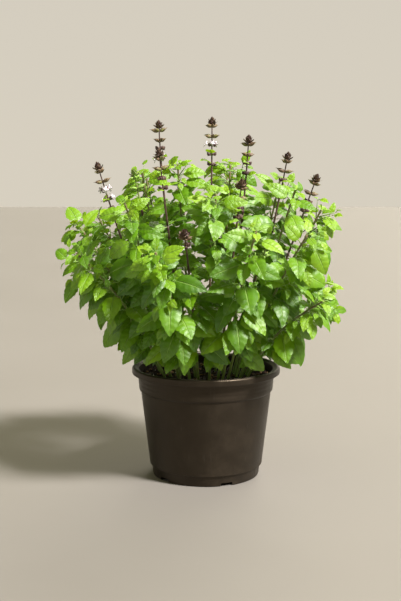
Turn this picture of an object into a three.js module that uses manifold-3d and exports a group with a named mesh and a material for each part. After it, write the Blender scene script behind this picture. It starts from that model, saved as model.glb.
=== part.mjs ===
// A bushy persian basil in a plastic nursery pot: the pot, its soil, thirty-six leafy stems that stand
// in holes in the soil, and a flower spike on top of each of the twelve that flower.
// Millimetres, +Z up. The origin is the middle of the pot's underside, and the front looks along -Y.
import * as THREE from "three";
import { mergeVertices } from "three/addons/utils/BufferGeometryUtils.js";
import Module from "manifold-3d";

const wasm = await Module();
wasm.setup();

// Pot, the one size that the others follow: a 17 cm nursery pot
const POT_SIDES = 24;
const RIM_RADIUS = 85;
const POT_HEIGHT = 126;
const FOOT_RADIUS = 61.5;
const WALL = 1.7;
const FLOOR_THICKNESS = 3.2;
const FOOT_BAND_HEIGHT = 12;
const RIM_BAND_Z = 99;
const LIP_DROP = 7.4;
const PAD_RADIUS = 16;
const NOTCH_COUNT = 5;
const NOTCH_WIDTH = 14;
const NOTCH_HEIGHT = 4;
const NOTCH_DEPTH = 17;
const NOTCH_FIRST_ANGLE = THREE.MathUtils.degToRad(-50);

// Soil
const SOIL_SIDES = 24;
const SOIL_LEVEL = 116;
const SOIL_RADIUS = 75.6;
const SOIL_RELIEF = 1.5;
const SOIL_RINGS = [0.72, 0.38];
const HOLE_DEPTH = 22;

// Crown of leaves: a dome above its widest height and a deeper bowl below it
const CROWN_Z = 250;
const CROWN_RADIUS = 166;
const CROWN_ABOVE = 122;
const CROWN_BELOW = 150;
const CROWN_LOWEST = 131;
const CROWN_OVERREACH = 1.08;
const SHADE_Z = 205;
const SHADE_RADIUS = 91;
const SHADE_HALF_HEIGHT = 104;

// Stems: they rise nearly straight from the soil and bow outwards, the low ones most
const LEAFY_STEMS = 24;
const STEM_DRAWS = 400;
const FULL_REACH = 0.86;
const ROOT_SPREAD = 62;
const STEEP_DRAW_IN = 0.25;
const STEM_LEAN = 0.42;
const STEM_RISE = 0.62;
const LOWEST_TIP = 150;
const STEEP_SPAN = 200;
const STEM_RADIUS_LOW = 1.35;
const STEM_RADIUS_HIGH = 0.85;
const STEM_RINGS = 4;
const STEM_STEPS = 48;
const STEM_APART = 6.2;
const TIP_APART = 40;
const TIP_POLAR = [18, 108];
const TIP_OUT = [0.88, 0.97];

// Leaves, level by level from a stem's tip down: how far below the tip, and how long the blade is
const LEVELS = [
  { below: 3, length: 17 },
  { below: 13, length: 25 },
  { below: 28, length: 31 },
  { below: 46, length: 35 },
  { below: 66, length: 37 },
  { below: 88, length: 37 },
  { below: 110, length: 36 },
  { below: 133, length: 34 },
  { below: 156, length: 32 },
];
const SMALL_LEAF = 20;
const BARE_FOOT = 24;
const HALF_WIDTH_SHARE = 0.32;
const TRIES = 12;
const TURN_FREE = 0.3;
const TURN_FREER = 0.06;

// How a leaf grows: upwards at a stem's tip, across the stem lower down, and sagging more and more
const YOUNGEST = 0.6;
const YOUNG_LOSS = 0.25;
const ACROSS_STEM = 0.85;
const ALONG_STEM = 0.2;
const ALONG_YOUNG = 0.35;
const OUTWARDS = 0.25;
const SAG = 0.1;
const SAG_MORE = 0.07;
const SAG_LEVELS = 6;
const STALK_SHARE = 0.24;
const SMALL_STALK_SHARE = 0.2;

// It turns its upper side up, outwards and to the front, where the light comes from
const LIGHT_UP = 0.6;
const LIGHT_OUT = 0.35;
const LIGHT_FRONT = 0.6;

// The blade is widest below its middle, and each half arches down to its edge
const EDGE_SKEW = 0.78;
const EDGE_FULLNESS = 0.64;
const EDGE_NARROWING = 0.45;
const CUPPING = 0.4;

// How far leaves differ, each as the low and the high end of a draw
const DROOPS = [-0.15, 0.25];
const ROLLS = [-0.45, 0.45];
const SIZES = [0.86, 1.14];
const STALKS = [0.8, 1.2];
const WIDTHS = [0.9, 1.12];
const BENDS = [0.5, 1.1];
const FOLDS = [0.2, 0.48];

// The room that leaves, stems and spikes keep between them
const SAMPLE_STEP = 2.6;
const LEAF_APART = 4.8;
const STEM_CLEAR = 3.9;
const SPIKE_CLEAR = 8.4;

// Flower spikes: where each one's tip is, and the length of the flowering part
const SPIKES = [
  { tip: [-119, -45, 359], length: 92 },
  { tip: [-80, -30, 352], length: 46 },
  { tip: [-53, -5, 405], length: 92 },
  { tip: [-50, -80, 373], length: 84 },
  { tip: [7, 30, 410], length: 96 },
  { tip: [48, 0, 389], length: 84 },
  { tip: [37, -95, 342], length: 76 },
  { tip: [91, -20, 370], length: 86 },
  { tip: [120, -55, 346], length: 92 },
  { tip: [-23, -122, 291], length: 48 },
  { tip: [65, -112, 281], length: 40 },
  { tip: [-30, 116, 334], length: 58 },
];
const SPIKE_RADIUS = 1.1;
const HEAD_LENGTH = 9.5;
const FIRST_WHORL = 2.2;
const BARE_SHARE = 0.4;
const WHORL_GAP = 11;
const WHORL_SHIFTS = [-0.6, 0.6];
const WHORL_FOOT = 3;
const WHORL_TOP = 2.4;
const WHORL_DIP = 2.6;
const WIDE_WHORLS = 2;
const WIDE_REACHES = [7, 8];
const REACHES = [5, 6];
const CALYX_RISE = 1.2;

// The bud head's rings: how far below the spike's tip, and the reach of its points and of the dips
const HEAD_RINGS = [
  { below: 8.3, reach: SPIKE_RADIUS },
  { below: 7.3, reach: 5.2, dip: 3 },
  { below: 4.5, reach: 2.6 },
  { below: 3.3, reach: 3.7, dip: 2 },
];

const GAP = 0.3;
const TIDY = 0.07;
const UP = new THREE.Vector3(0, 0, 1);
const FRONT = new THREE.Vector3(0, -1, 0);

// A repeatable stream of draws, the same in any language that holds whole numbers up to 2^53
function stream(start) {
  let state = start;
  return function draw(low = 0, high = 1) {
    state = (state * 48271) % 2147483647;
    return low + ((high - low) * state) / 2147483647;
  };
}

// Turns points and triangles into a closed solid
function solidOf(points, triangles) {
  const vertProperties = new Float32Array(points.flatMap((p) => [p.x, p.y, p.z]));
  const triVerts = new Uint32Array(triangles.flat());
  return new wasm.Manifold(new wasm.Mesh({ numProp: 3, vertProperties, triVerts }));
}

function solidFromGeometry(geometry) {
  geometry.deleteAttribute("normal");
  geometry.deleteAttribute("uv");
  const merged = mergeVertices(geometry, 1e-4);
  const vertProperties = new Float32Array(merged.attributes.position.array);
  const triVerts = new Uint32Array(merged.index.array);
  return new wasm.Manifold(new wasm.Mesh({ numProp: 3, vertProperties, triVerts }));
}

// One mesh of its own material from a finished solid
function meshOf(name, solid, finish) {
  const { vertProperties, triVerts, numProp } = solid.getMesh();
  const corners = new Float32Array((vertProperties.length / numProp) * 3);
  for (let i = 0; i < corners.length / 3; i++)
    corners.set(vertProperties.subarray(i * numProp, i * numProp + 3), i * 3);
  const geometry = new THREE.BufferGeometry();
  geometry.setAttribute("position", new THREE.BufferAttribute(corners, 3));
  geometry.setIndex(new THREE.BufferAttribute(triVerts, 1));
  geometry.computeVertexNormals();
  const mesh = new THREE.Mesh(geometry, new THREE.MeshStandardMaterial(finish));
  mesh.name = name;
  return mesh;
}

const towards = (start, direction, distance) => start.clone().addScaledVector(direction, distance);
const sumOf = (...terms) =>
  terms.reduce((sum, [vector, share]) => sum.addScaledVector(vector, share), new THREE.Vector3());

// Pot: one turned wall with a foot band, a rim band and a lip that turns down, and notches in its foot
function potSolid() {
  const footTop = FOOT_RADIUS + 1;
  const bodyLow = footTop + 2.4;
  const bandLow = bodyLow + 10;
  const lipInner = RIM_RADIUS - WALL;
  const bandHigh = lipInner - 4.4;
  const profile = [
    [0, 0],
    [PAD_RADIUS, 0],
    [PAD_RADIUS + 1.5, 1.5],
    [FOOT_RADIUS - 13, 1.5],
    [FOOT_RADIUS - 11.5, 0],
    [FOOT_RADIUS - 1.4, 0],
    [FOOT_RADIUS, 1.6],
    [footTop, FOOT_BAND_HEIGHT - 1],
    [bodyLow, FOOT_BAND_HEIGHT + 1],
    [bandLow, RIM_BAND_Z - 1.2],
    [bandLow + 2, RIM_BAND_Z + 1.3],
    [bandHigh, POT_HEIGHT - 4.5],
    [lipInner, POT_HEIGHT - 4.8],
    [lipInner, POT_HEIGHT - LIP_DROP],
    [RIM_RADIUS, POT_HEIGHT - LIP_DROP],
    [RIM_RADIUS, POT_HEIGHT - 2.6],
    [RIM_RADIUS - 1.6, POT_HEIGHT - 0.5],
    [RIM_RADIUS - 3.8, POT_HEIGHT],
    [bandHigh - WALL, POT_HEIGHT - 4],
    [bandLow + 2 - WALL, RIM_BAND_Z + 1],
    [bandLow - WALL, RIM_BAND_Z - 1],
    [bodyLow - WALL - 0.4, FOOT_BAND_HEIGHT],
    [FOOT_RADIUS - 1.6, FLOOR_THICKNESS],
    [0, FLOOR_THICKNESS],
  ];
  const outline = profile.map(([radius, height]) => new THREE.Vector2(radius, height));
  let pot = solidFromGeometry(new THREE.LatheGeometry(outline, POT_SIDES).rotateX(Math.PI / 2));
  for (let i = 0; i < NOTCH_COUNT; i++) {
    const angle = NOTCH_FIRST_ANGLE + (i * 2 * Math.PI) / NOTCH_COUNT;
    const notch = new THREE.BoxGeometry(NOTCH_DEPTH, NOTCH_WIDTH, NOTCH_HEIGHT * 2);
    notch.translate(FOOT_RADIUS + 5 - NOTCH_DEPTH / 2, 0, 0);
    notch.rotateZ(angle - Math.PI / 2);
    pot = pot.subtract(solidFromGeometry(notch));
  }
  return pot;
}

// Points along a stem: straight up through the soil, then one easy curve out to its tip
function stemOf(tip, end) {
  const flat = new THREE.Vector3(tip.x, tip.y, 0);
  const reach = Math.min(flat.length() / (CROWN_RADIUS * FULL_REACH), 1);
  const steep = THREE.MathUtils.clamp((tip.z - LOWEST_TIP) / STEEP_SPAN, 0, 1);
  const spread = ROOT_SPREAD * reach * (1 - STEEP_DRAW_IN * steep * reach);
  const root = flat.clone().normalize().multiplyScalar(spread).setZ(SOIL_LEVEL);
  const height = tip.z - SOIL_LEVEL;
  const lean = sumOf([UP, 1], [flat.clone().normalize(), STEM_LEAN * reach]).normalize();
  const middle = towards(root, lean, height * STEM_RISE);
  const points = [];
  for (let i = 0; i <= STEM_STEPS; i++) {
    const t = i / STEM_STEPS;
    points.push(sumOf([root, (1 - t) ** 2], [middle, 2 * t * (1 - t)], [tip, t * t]));
  }
  const lengths = [0];
  for (let i = 1; i <= STEM_STEPS; i++) lengths.push(lengths[i - 1] + points[i].distanceTo(points[i - 1]));
  const full = lengths[STEM_STEPS];
  const top = full - end;
  const keep = lengths.map((length) => (end && length > top - 2 ? SPIKE_CLEAR : STEM_CLEAR));
  const turn = Math.atan2(tip.y, tip.x);
  return { root, tip, lean, points, lengths, full, top, keep, turn, leaves: [] };
}

// The place and direction on a stem that lies a given length above the soil
function placeOn(stem, length) {
  const wanted = THREE.MathUtils.clamp(length, 0, stem.full);
  let i = 1;
  while (i < STEM_STEPS && stem.lengths[i] < wanted) i++;
  const span = stem.lengths[i] - stem.lengths[i - 1];
  const share = (wanted - stem.lengths[i - 1]) / span;
  const direction = stem.points[i].clone().sub(stem.points[i - 1]).normalize();
  return { point: stem.points[i - 1].clone().lerp(stem.points[i], share), direction };
}

// Half the side of a stem's square section
function thicknessAt(stem, length) {
  return STEM_RADIUS_LOW + (STEM_RADIUS_HIGH - STEM_RADIUS_LOW) * Math.min(length / stem.full, 1);
}

// The stems: those that flower, by their spikes, then the leafy ones, spread evenly over the crown
function allStems() {
  const stems = SPIKES.map(({ tip, length }) => stemOf(new THREE.Vector3(...tip), length));
  const golden = Math.PI * (3 - Math.sqrt(5));
  const draw = stream(2237);
  const wanted = SPIKES.length + LEAFY_STEMS;
  for (let i = 0; stems.length < wanted && i < STEM_DRAWS; i++) {
    const polar = THREE.MathUtils.degToRad(draw(...TIP_POLAR));
    const angle = i * golden;
    const out = draw(...TIP_OUT);
    const flat = Math.sin(polar) * CROWN_RADIUS * out;
    const tip = new THREE.Vector3(Math.cos(angle) * flat, Math.sin(angle) * flat, 0);
    tip.z = CROWN_Z + Math.cos(polar) * (polar < Math.PI / 2 ? CROWN_ABOVE : CROWN_BELOW) * out;
    const stem = stemOf(tip, 0);
    const free = stems.every((other) => stemsApart(stem, other));
    const ownPlace = stems.every((other) => placeOn(other, other.top).point.distanceTo(tip) > TIP_APART);
    if (free && ownPlace) stems.push(stem);
  }
  return stems;
}

// True where two stems and their spikes leave room between them all the way
function stemsApart(one, other) {
  return one.points.every((a, i) =>
    other.points.every((b, j) => {
      const room = Math.max(one.keep[i], other.keep[j]) + STEM_RADIUS_LOW;
      return a.distanceTo(b) > Math.max(room, STEM_APART);
    }),
  );
}

// A leaf: its root in the stem, the foot of its blade, the way it points, its upper side and its bend
function leafOf(stem, level, side, freedom, draw) {
  const { below, length } = LEVELS[level];
  const at = placeOn(stem, stem.top - below);
  const flat = Math.hypot(at.point.x, at.point.y);
  const out = new THREE.Vector3(at.point.x / flat, at.point.y / flat, 0);
  const young = Math.max(0, YOUNGEST - YOUNG_LOSS * level);
  const across = new THREE.Vector3().crossVectors(at.direction, out).normalize();
  const facing = new THREE.Vector3().crossVectors(across, at.direction).normalize();
  const turn = side * Math.PI + (level % 2) * (Math.PI / 2) + stem.turn + draw(-freedom, freedom);
  const sideways = sumOf([across, Math.cos(turn)], [facing, Math.sin(turn)]);
  const along = ALONG_STEM + ALONG_YOUNG * young;
  const petiole = sumOf([sideways, ACROSS_STEM], [at.direction, along], [out, OUTWARDS]).normalize();
  const sag = SAG + SAG_MORE * Math.min(level, SAG_LEVELS);
  const droop = sag * (1 - young) + draw(...DROOPS);
  const axis = sumOf([petiole, 1], [UP, -droop]).normalize();
  const light = sumOf([UP, LIGHT_UP], [out, (LIGHT_OUT * flat) / CROWN_RADIUS], [FRONT, LIGHT_FRONT]);
  const normal = sumOf([light, 1], [axis, -light.dot(axis)]).normalize();
  normal.applyAxisAngle(axis, draw(...ROLLS));
  const size = length * draw(...SIZES);
  const reach = (length < SMALL_LEAF ? SMALL_STALK_SHARE : STALK_SHARE) * size * draw(...STALKS);
  return {
    root: at.point,
    foot: towards(at.point, petiole, reach + 1.5),
    axis,
    normal,
    side: new THREE.Vector3().crossVectors(normal, axis),
    length: size,
    halfWidth: size * HALF_WIDTH_SHARE * draw(...WIDTHS),
    bend: draw(...BENDS),
    fold: draw(...FOLDS),
  };
}

// A point of the blade, u from its foot to its tip and across from its right edge to its left one
function bladePoint(leaf, u, across, lift = 0) {
  const angle = leaf.bend * u;
  const ahead = (leaf.length * Math.sin(angle)) / leaf.bend;
  const down = (leaf.length * (1 - Math.cos(angle))) / leaf.bend;
  const normal = sumOf([leaf.normal, Math.cos(angle)], [leaf.axis, Math.sin(angle)]);
  const width = leaf.halfWidth * across;
  const rise = Math.abs(width) * Math.sin(leaf.fold) - CUPPING * leaf.halfWidth * across * across;
  const middle = sumOf([leaf.foot, 1], [leaf.axis, ahead], [leaf.normal, -down]);
  return sumOf([middle, 1], [leaf.side, width * Math.cos(leaf.fold)], [normal, rise + lift]);
}

// How wide a basil blade is along its length, as a share of its widest
function outline(u) {
  const swelling = Math.max(Math.sin(Math.PI * u ** EDGE_SKEW), 0);
  return swelling ** EDGE_FULLNESS * (1 - EDGE_NARROWING * u ** 3);
}

// Points spread over the blade and its stalk, to keep leaves clear of each other
function samplesOf(leaf) {
  const samples = [];
  const rows = Math.max(3, Math.ceil(leaf.length / SAMPLE_STEP));
  for (let i = 0; i <= rows; i++) {
    const u = i / rows;
    const share = Math.max(outline(u), 0.02);
    const columns = Math.ceil((leaf.halfWidth * share) / SAMPLE_STEP);
    for (let j = -columns; j <= columns; j++)
      samples.push({ point: bladePoint(leaf, u, (share * j) / columns), u });
  }
  for (const share of [0.5, 0.8])
    samples.push({ point: leaf.root.clone().lerp(leaf.foot, share), u: 0 });
  return samples;
}

// True where a point lies in the crown's deep shade, where a basil has dropped its leaves
function inShade(point) {
  const flat = Math.hypot(point.x, point.y) / SHADE_RADIUS;
  const tall = (point.z - SHADE_Z) / SHADE_HALF_HEIGHT;
  return Math.hypot(flat, tall) < 1;
}

// True where a leaf's tip stays within the crown's outline and off the table
function insideCrown(point) {
  const flat = Math.hypot(point.x, point.y) / CROWN_RADIUS;
  const tall = (point.z - CROWN_Z) / (point.z > CROWN_Z ? CROWN_ABOVE : CROWN_BELOW);
  return Math.hypot(flat, tall) < CROWN_OVERREACH && point.z > CROWN_LOWEST;
}

// True where a point keeps clear of the pot's rim and of the soil
function clearOfPot(point) {
  const flat = Math.hypot(point.x, point.y);
  if (point.z > POT_HEIGHT + 3) return true;
  if (flat < RIM_RADIUS - 13) return point.z > SOIL_LEVEL + 5;
  return flat > RIM_RADIUS + 3;
}

// True where a leaf keeps clear of the pot, of the other stems and of the leaves placed before it
function leafFits(leaf, stem, stems, placed) {
  const samples = samplesOf(leaf);
  const middle = bladePoint(leaf, 0.5, 0);
  if (inShade(middle)) return false;
  if (!insideCrown(bladePoint(leaf, 1, 0)) && leaf.length > SMALL_LEAF) return false;
  if (!samples.every(({ point }) => clearOfPot(point))) return false;
  for (const other of stems) {
    const near = other.points.some((p, i) =>
      samples.some(({ point, u }) => {
        if (other === stem && u < 0.3 && other.keep[i] === STEM_CLEAR) return false;
        return p.distanceToSquared(point) < other.keep[i] ** 2;
      }),
    );
    if (near) return false;
  }
  for (const other of placed) {
    const reach = (leaf.length + other.length) * 0.62 + LEAF_APART;
    if (middle.distanceTo(other.middle) > reach) continue;
    const limit = LEAF_APART ** 2;
    for (const { point, u } of samples) {
      for (const sample of other.samples) {
        if (other.stem === stem && u < 0.2 && sample.u < 0.2) continue;
        if (sample.point.distanceToSquared(point) < limit) return false;
      }
    }
  }
  leaf.middle = middle;
  leaf.samples = samples;
  leaf.stem = stem;
  return true;
}

// Grows the leaves level by level from the tips down, each where it finds room
function growLeaves(stems) {
  const placed = [];
  const draw = stream(7707);
  for (let level = 0; level < LEVELS.length; level++) {
    for (const stem of stems) {
      if (stem.top - LEVELS[level].below < BARE_FOOT) continue;
      for (const side of [0, 1]) {
        let leaf = null;
        for (let i = 0; i < TRIES && !leaf; i++) {
          const candidate = leafOf(stem, level, side, TURN_FREE + TURN_FREER * i, draw);
          if (leafFits(candidate, stem, stems, placed)) leaf = candidate;
        }
        if (!leaf) continue;
        placed.push(leaf);
        stem.leaves.push(leaf);
      }
    }
  }
}

// The blade's edge, from its foot to near its tip: how far along and how wide, with its teeth
const LARGE_EDGE = [
  [0.14, 0.76],
  [0.46, 1.03],
  [0.54, 0.88],
  [0.78, 0.56],
];
const SMALL_EDGE = [
  [0.32, 1.0],
  [0.7, 0.68],
];
const RIB_MIDDLE = 0.42;

// A blade with a raised edge and a keel under its rib, on a three-sided stalk that roots in the stem
function leafSolid(leaf) {
  const small = leaf.length < SMALL_LEAF;
  const edge = small ? SMALL_EDGE : LARGE_EDGE;
  const stalk = small ? 0.5 : 0.6;
  const points = [];
  const add = (point) => points.push(point) - 1;
  const [rootEnd, footEnd] = [leaf.root, leaf.foot].map((end) => ({
    left: add(towards(end, leaf.side, stalk)),
    right: add(towards(end, leaf.side, -stalk)),
    low: add(towards(end, leaf.normal, -stalk * 1.5)),
  }));
  const tip = add(bladePoint(leaf, 1, 0));
  const top = add(bladePoint(leaf, RIB_MIDDLE, 0, 0.3));
  const keel = add(bladePoint(leaf, RIB_MIDDLE, 0, -1.1));
  const left = [footEnd.left, ...edge.map(([u, share]) => add(bladePoint(leaf, u, share))), tip];
  const right = [footEnd.right, ...edge.map(([u, share]) => add(bladePoint(leaf, u, -share))), tip];
  const faces = [
    [rootEnd.left, rootEnd.right, footEnd.right],
    [rootEnd.left, footEnd.right, footEnd.left],
    [rootEnd.right, rootEnd.low, footEnd.low],
    [rootEnd.right, footEnd.low, footEnd.right],
    [rootEnd.low, rootEnd.left, footEnd.left],
    [rootEnd.low, footEnd.left, footEnd.low],
    [rootEnd.left, rootEnd.low, rootEnd.right],
    [footEnd.left, footEnd.right, top],
    [footEnd.right, footEnd.low, keel],
    [footEnd.low, footEnd.left, keel],
  ];
  for (let i = 0; i + 1 < left.length; i++) {
    faces.push([right[i], right[i + 1], top], [left[i + 1], left[i], top]);
    faces.push([right[i + 1], right[i], keel], [left[i], left[i + 1], keel]);
  }
  return solidOf(points, faces);
}

// A square tube through a list of places, each with its half width
function squareTube(places) {
  const points = [];
  const faces = [];
  places.forEach(({ point, direction, radius }, ring) => {
    const a = new THREE.Vector3().crossVectors(direction, new THREE.Vector3(0, 1, 0)).normalize();
    const b = new THREE.Vector3().crossVectors(direction, a).normalize();
    for (let i = 0; i < 4; i++) {
      const angle = (i * Math.PI) / 2;
      const shift = sumOf([a, Math.cos(angle)], [b, Math.sin(angle)]);
      points.push(towards(point, shift, radius * Math.SQRT2));
    }
    if (ring === 0) return;
    for (let i = 0; i < 4; i++) {
      const low = (ring - 1) * 4;
      const j = (i + 1) % 4;
      faces.push([low + i, low + j, low + 4 + j], [low + i, low + 4 + j, low + 4 + i]);
    }
  });
  const last = points.length - 4;
  faces.push([0, 2, 1], [0, 3, 2], [last, last + 1, last + 2], [last, last + 2, last + 3]);
  return solidOf(points, faces);
}

// A stem with its leaves, from the bottom of its hole to its tip or to its flower spike
function stemSolid(stem) {
  const places = [];
  const start = towards(stem.root, stem.lean, GAP - HOLE_DEPTH);
  places.push({ point: start, direction: stem.lean, radius: STEM_RADIUS_LOW });
  for (let i = 0; i <= STEM_RINGS; i++) {
    const length = (stem.top * i) / STEM_RINGS;
    const { point, direction } = placeOn(stem, length);
    places.push({ point, direction: i ? direction : stem.lean, radius: thicknessAt(stem, length) });
  }
  const grown = stem.leaves.reduce((solid, leaf) => solid.add(leafSolid(leaf)), squareTube(places));
  return grown.asOriginal().simplify(TIDY);
}

// The soil fills the pot to below its rim, with a crumbly top and one plain hole for each stem
function soilSolid(stems) {
  const profile = [
    [0, FLOOR_THICKNESS + GAP],
    [FOOT_RADIUS - 3.6, FLOOR_THICKNESS + GAP],
    [SOIL_RADIUS - 4, RIM_BAND_Z - 1],
    [SOIL_RADIUS, SOIL_LEVEL],
    ...SOIL_RINGS.map((share) => [SOIL_RADIUS * share, SOIL_LEVEL]),
    [0, SOIL_LEVEL],
  ];
  const outline = profile.map(([radius, height]) => new THREE.Vector2(radius, height));
  const geometry = new THREE.LatheGeometry(outline, SOIL_SIDES).rotateX(Math.PI / 2);
  const place = geometry.attributes.position;
  for (let i = 0; i < place.count; i++) {
    if (place.getZ(i) < SOIL_LEVEL - 1) continue;
    const wave = Math.sin(place.getX(i) * 0.21 + 1) * Math.cos(place.getY(i) * 0.17 - 0.6);
    place.setZ(i, SOIL_LEVEL + SOIL_RELIEF * wave);
  }
  let soil = solidFromGeometry(geometry);
  for (const stem of stems) {
    const radius = STEM_RADIUS_LOW + GAP;
    const low = { point: towards(stem.root, stem.lean, -HOLE_DEPTH), direction: stem.lean, radius };
    const high = { point: towards(stem.root, stem.lean, 6), direction: stem.lean, radius };
    soil = soil.subtract(squareTube([low, high]));
  }
  return soil;
}

// One ring of a flower spike: four corners of its stalk, or a four-pointed star of calyces
function spikeRing(at, turn, outer, inner = 0) {
  const a = new THREE.Vector3().crossVectors(at.direction, new THREE.Vector3(0, 1, 0)).normalize();
  const b = new THREE.Vector3().crossVectors(at.direction, a).normalize();
  const corners = inner ? 8 : 4;
  const ring = [];
  for (let i = 0; i < corners; i++) {
    const angle = turn + (i * 2 * Math.PI) / corners;
    const far = corners === 4 || i % 2 === 0;
    const radius = far ? outer : inner;
    const shift = sumOf([a, Math.cos(angle) * radius], [b, Math.sin(angle) * radius]);
    const rise = inner && far ? CALYX_RISE : 0;
    ring.push(sumOf([at.point, 1], [shift, 1], [at.direction, rise]));
  }
  return ring;
}

// Joins rings of four or eight corners, bottom to top, and closes both ends
function ringStack(rings, apex) {
  const points = [];
  const starts = rings.map((ring) => points.push(...ring) - ring.length);
  const top = points.push(apex) - 1;
  const faces = [
    [0, 2, 1],
    [0, 3, 2],
  ];
  for (let k = 0; k + 1 < rings.length; k++) {
    const at = (i) => starts[k] + (i % rings[k].length);
    const over = (i) => starts[k + 1] + (i % rings[k + 1].length);
    for (let i = 0; i < 4; i++) {
      if (rings[k + 1].length === 8) {
        faces.push([at(i), over(2 * i + 1), over(2 * i)], [at(i), at(i + 1), over(2 * i + 1)]);
        faces.push([at(i + 1), over(2 * i + 2), over(2 * i + 1)]);
      } else if (rings[k].length === 8) {
        faces.push([over(i), at(2 * i), at(2 * i + 1)], [over(i), at(2 * i + 1), over(i + 1)]);
        faces.push([over(i + 1), at(2 * i + 1), at(2 * i + 2)]);
      } else {
        faces.push([at(i), at(i + 1), over(i + 1)], [at(i), over(i + 1), over(i)]);
      }
    }
  }
  const last = rings[rings.length - 1];
  const low = starts[rings.length - 1];
  for (let i = 0; i < last.length; i++) faces.push([low + i, low + ((i + 1) % last.length), top]);
  return solidOf(points, faces);
}

// A flower spike: its dark stalk, the whorls of calyces up it, and the pointed bud head on top
function spikeSolid(stem, length, draw) {
  const from = (below) => placeOn(stem, stem.full - below);
  const start = stem.full - stem.top - GAP;
  let turn = draw(0, Math.PI);
  const rings = [spikeRing(from(start), turn, SPIKE_RADIUS)];
  const whorls = Math.floor((length * (1 - BARE_SHARE) - HEAD_LENGTH) / WHORL_GAP);
  for (let i = whorls; i >= 0; i--) {
    const below = HEAD_LENGTH + FIRST_WHORL + i * WHORL_GAP + draw(...WHORL_SHIFTS);
    const reach = draw(...(i < WIDE_WHORLS ? WIDE_REACHES : REACHES));
    turn += Math.PI / 4;
    rings.push(spikeRing(from(below + WHORL_FOOT), turn, SPIKE_RADIUS));
    rings.push(spikeRing(from(below), turn, reach, WHORL_DIP));
    rings.push(spikeRing(from(below - WHORL_TOP), turn, SPIKE_RADIUS));
  }
  turn += Math.PI / 4;
  for (const { below, reach, dip } of HEAD_RINGS) rings.push(spikeRing(from(below), turn, reach, dip));
  return ringStack(rings, from(0).point);
}

const stems = allStems();
growLeaves(stems);

const basil = new THREE.Group();
basil.add(meshOf("pot", potSolid(), { color: 0x2b2622, roughness: 0.5, metalness: 0 }));
basil.add(meshOf("soil", soilSolid(stems), { color: 0x2a1c12, roughness: 0.95, metalness: 0 }));

const two = (number) => String(number).padStart(2, "0");
stems.forEach((stem, i) => {
  const finish = { color: 0x4f9a2b, roughness: 0.45, metalness: 0 };
  basil.add(meshOf("stem_" + two(i + 1), stemSolid(stem), finish));
});
const spikeDraw = stream(911);
SPIKES.forEach(({ length }, i) => {
  const finish = { color: 0x4a2f35, roughness: 0.7, metalness: 0 };
  basil.add(meshOf("spike_" + two(i + 1), spikeSolid(stems[i], length, spikeDraw), finish));
});

export default basil;
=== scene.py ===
# %% [markdown]
# # A basil in flower in its nursery pot
#
# This lesson dresses a potted basil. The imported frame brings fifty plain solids: a pot, its soil,
# thirty-six leafy stems and twelve flower spikes. Each is replaced here by a finer piece that keeps
# its form. The plant grows by a rule with seeded draws, so the same rule, written out again below,
# tells this script where each leaf of each solid is.

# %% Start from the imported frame
import math
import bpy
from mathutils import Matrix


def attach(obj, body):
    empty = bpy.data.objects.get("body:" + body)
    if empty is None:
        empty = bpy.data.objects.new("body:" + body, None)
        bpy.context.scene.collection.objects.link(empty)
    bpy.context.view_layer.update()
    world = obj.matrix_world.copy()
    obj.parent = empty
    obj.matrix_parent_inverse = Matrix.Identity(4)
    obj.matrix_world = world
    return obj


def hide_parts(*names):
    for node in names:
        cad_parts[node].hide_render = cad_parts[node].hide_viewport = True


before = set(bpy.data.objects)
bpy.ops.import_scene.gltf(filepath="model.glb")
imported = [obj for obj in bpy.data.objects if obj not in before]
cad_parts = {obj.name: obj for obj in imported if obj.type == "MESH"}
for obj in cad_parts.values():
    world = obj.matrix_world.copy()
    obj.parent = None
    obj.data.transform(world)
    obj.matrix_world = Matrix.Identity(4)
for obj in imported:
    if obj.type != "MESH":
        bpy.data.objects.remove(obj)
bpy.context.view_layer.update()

from types import SimpleNamespace

import bmesh
import bpy
import numpy as np
from mathutils import Matrix, Vector

MM = 0.001
UP = np.array([0.0, 0.0, 1.0])
FRONT = np.array([0.0, -1.0, 0.0])

# %% [markdown]
# ## The camera and the light
#
# The photograph was taken from a little above the plant's middle, 1.2 m in front of it, with a long
# lens. A camera with the same place, tilt and lens lets the render be laid beside the photograph.
# A sun stands high on the right, so that leaves shine on top. A wide, weak one behind makes the leaves
# at the edge glow, and a soft panel on the left opens the shadows.

# %% Camera
CAMERA_PLACE = (-6.28 * MM, -1.2, 0.3606)
CAMERA_PITCH = 0.132
CAMERA_LENS = 63.4


def make_camera():
    bpy.ops.object.camera_add(location=CAMERA_PLACE, rotation=(math.pi / 2 - CAMERA_PITCH, 0, 0))
    camera = bpy.context.object
    camera.data.lens = CAMERA_LENS
    camera.data.sensor_width = 36
    bpy.context.scene.camera = camera
    return camera


print("camera lens:", make_camera().data.lens)

# %% Sun, panels and the sky
SUNS = {
    "sun": {"place": (0.8, -0.62, 1.15), "strength": 8.6, "width": 12, "tone": (1.0, 0.95, 0.92)},
    "back light": {"place": (0.5, 1.1, 0.75), "strength": 1.5, "width": 40, "tone": (1.0, 0.92, 0.78)},
}
PANEL_PLACE = (-1.2, -0.9, 0.6)
PANEL_SIZE = 0.9
PANEL_POWER = 1.8
AIM = Vector((0, 0, 0.23))
# Steps of the sky's colour, from the horizon (0) to overhead (1)
SKY_STEPS = [
    (0.0, (1.54, 1.42, 1.19)),
    (0.15, (1.50, 1.39, 1.18)),
    (0.3, (0.34, 0.31, 0.13)),
    (0.6, (0.30, 0.28, 0.11)),
    (0.85, (1.42, 1.36, 0.72)),
    (1.0, (1.72, 1.66, 0.90)),
]
SKY_STRENGTH = 0.44


def facing_turn(place, aim):
    """The turn that points a light's or a camera's own -Z from one place to another."""
    return (Vector(aim) - Vector(place)).to_track_quat("-Z", "Y").to_euler()


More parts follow.
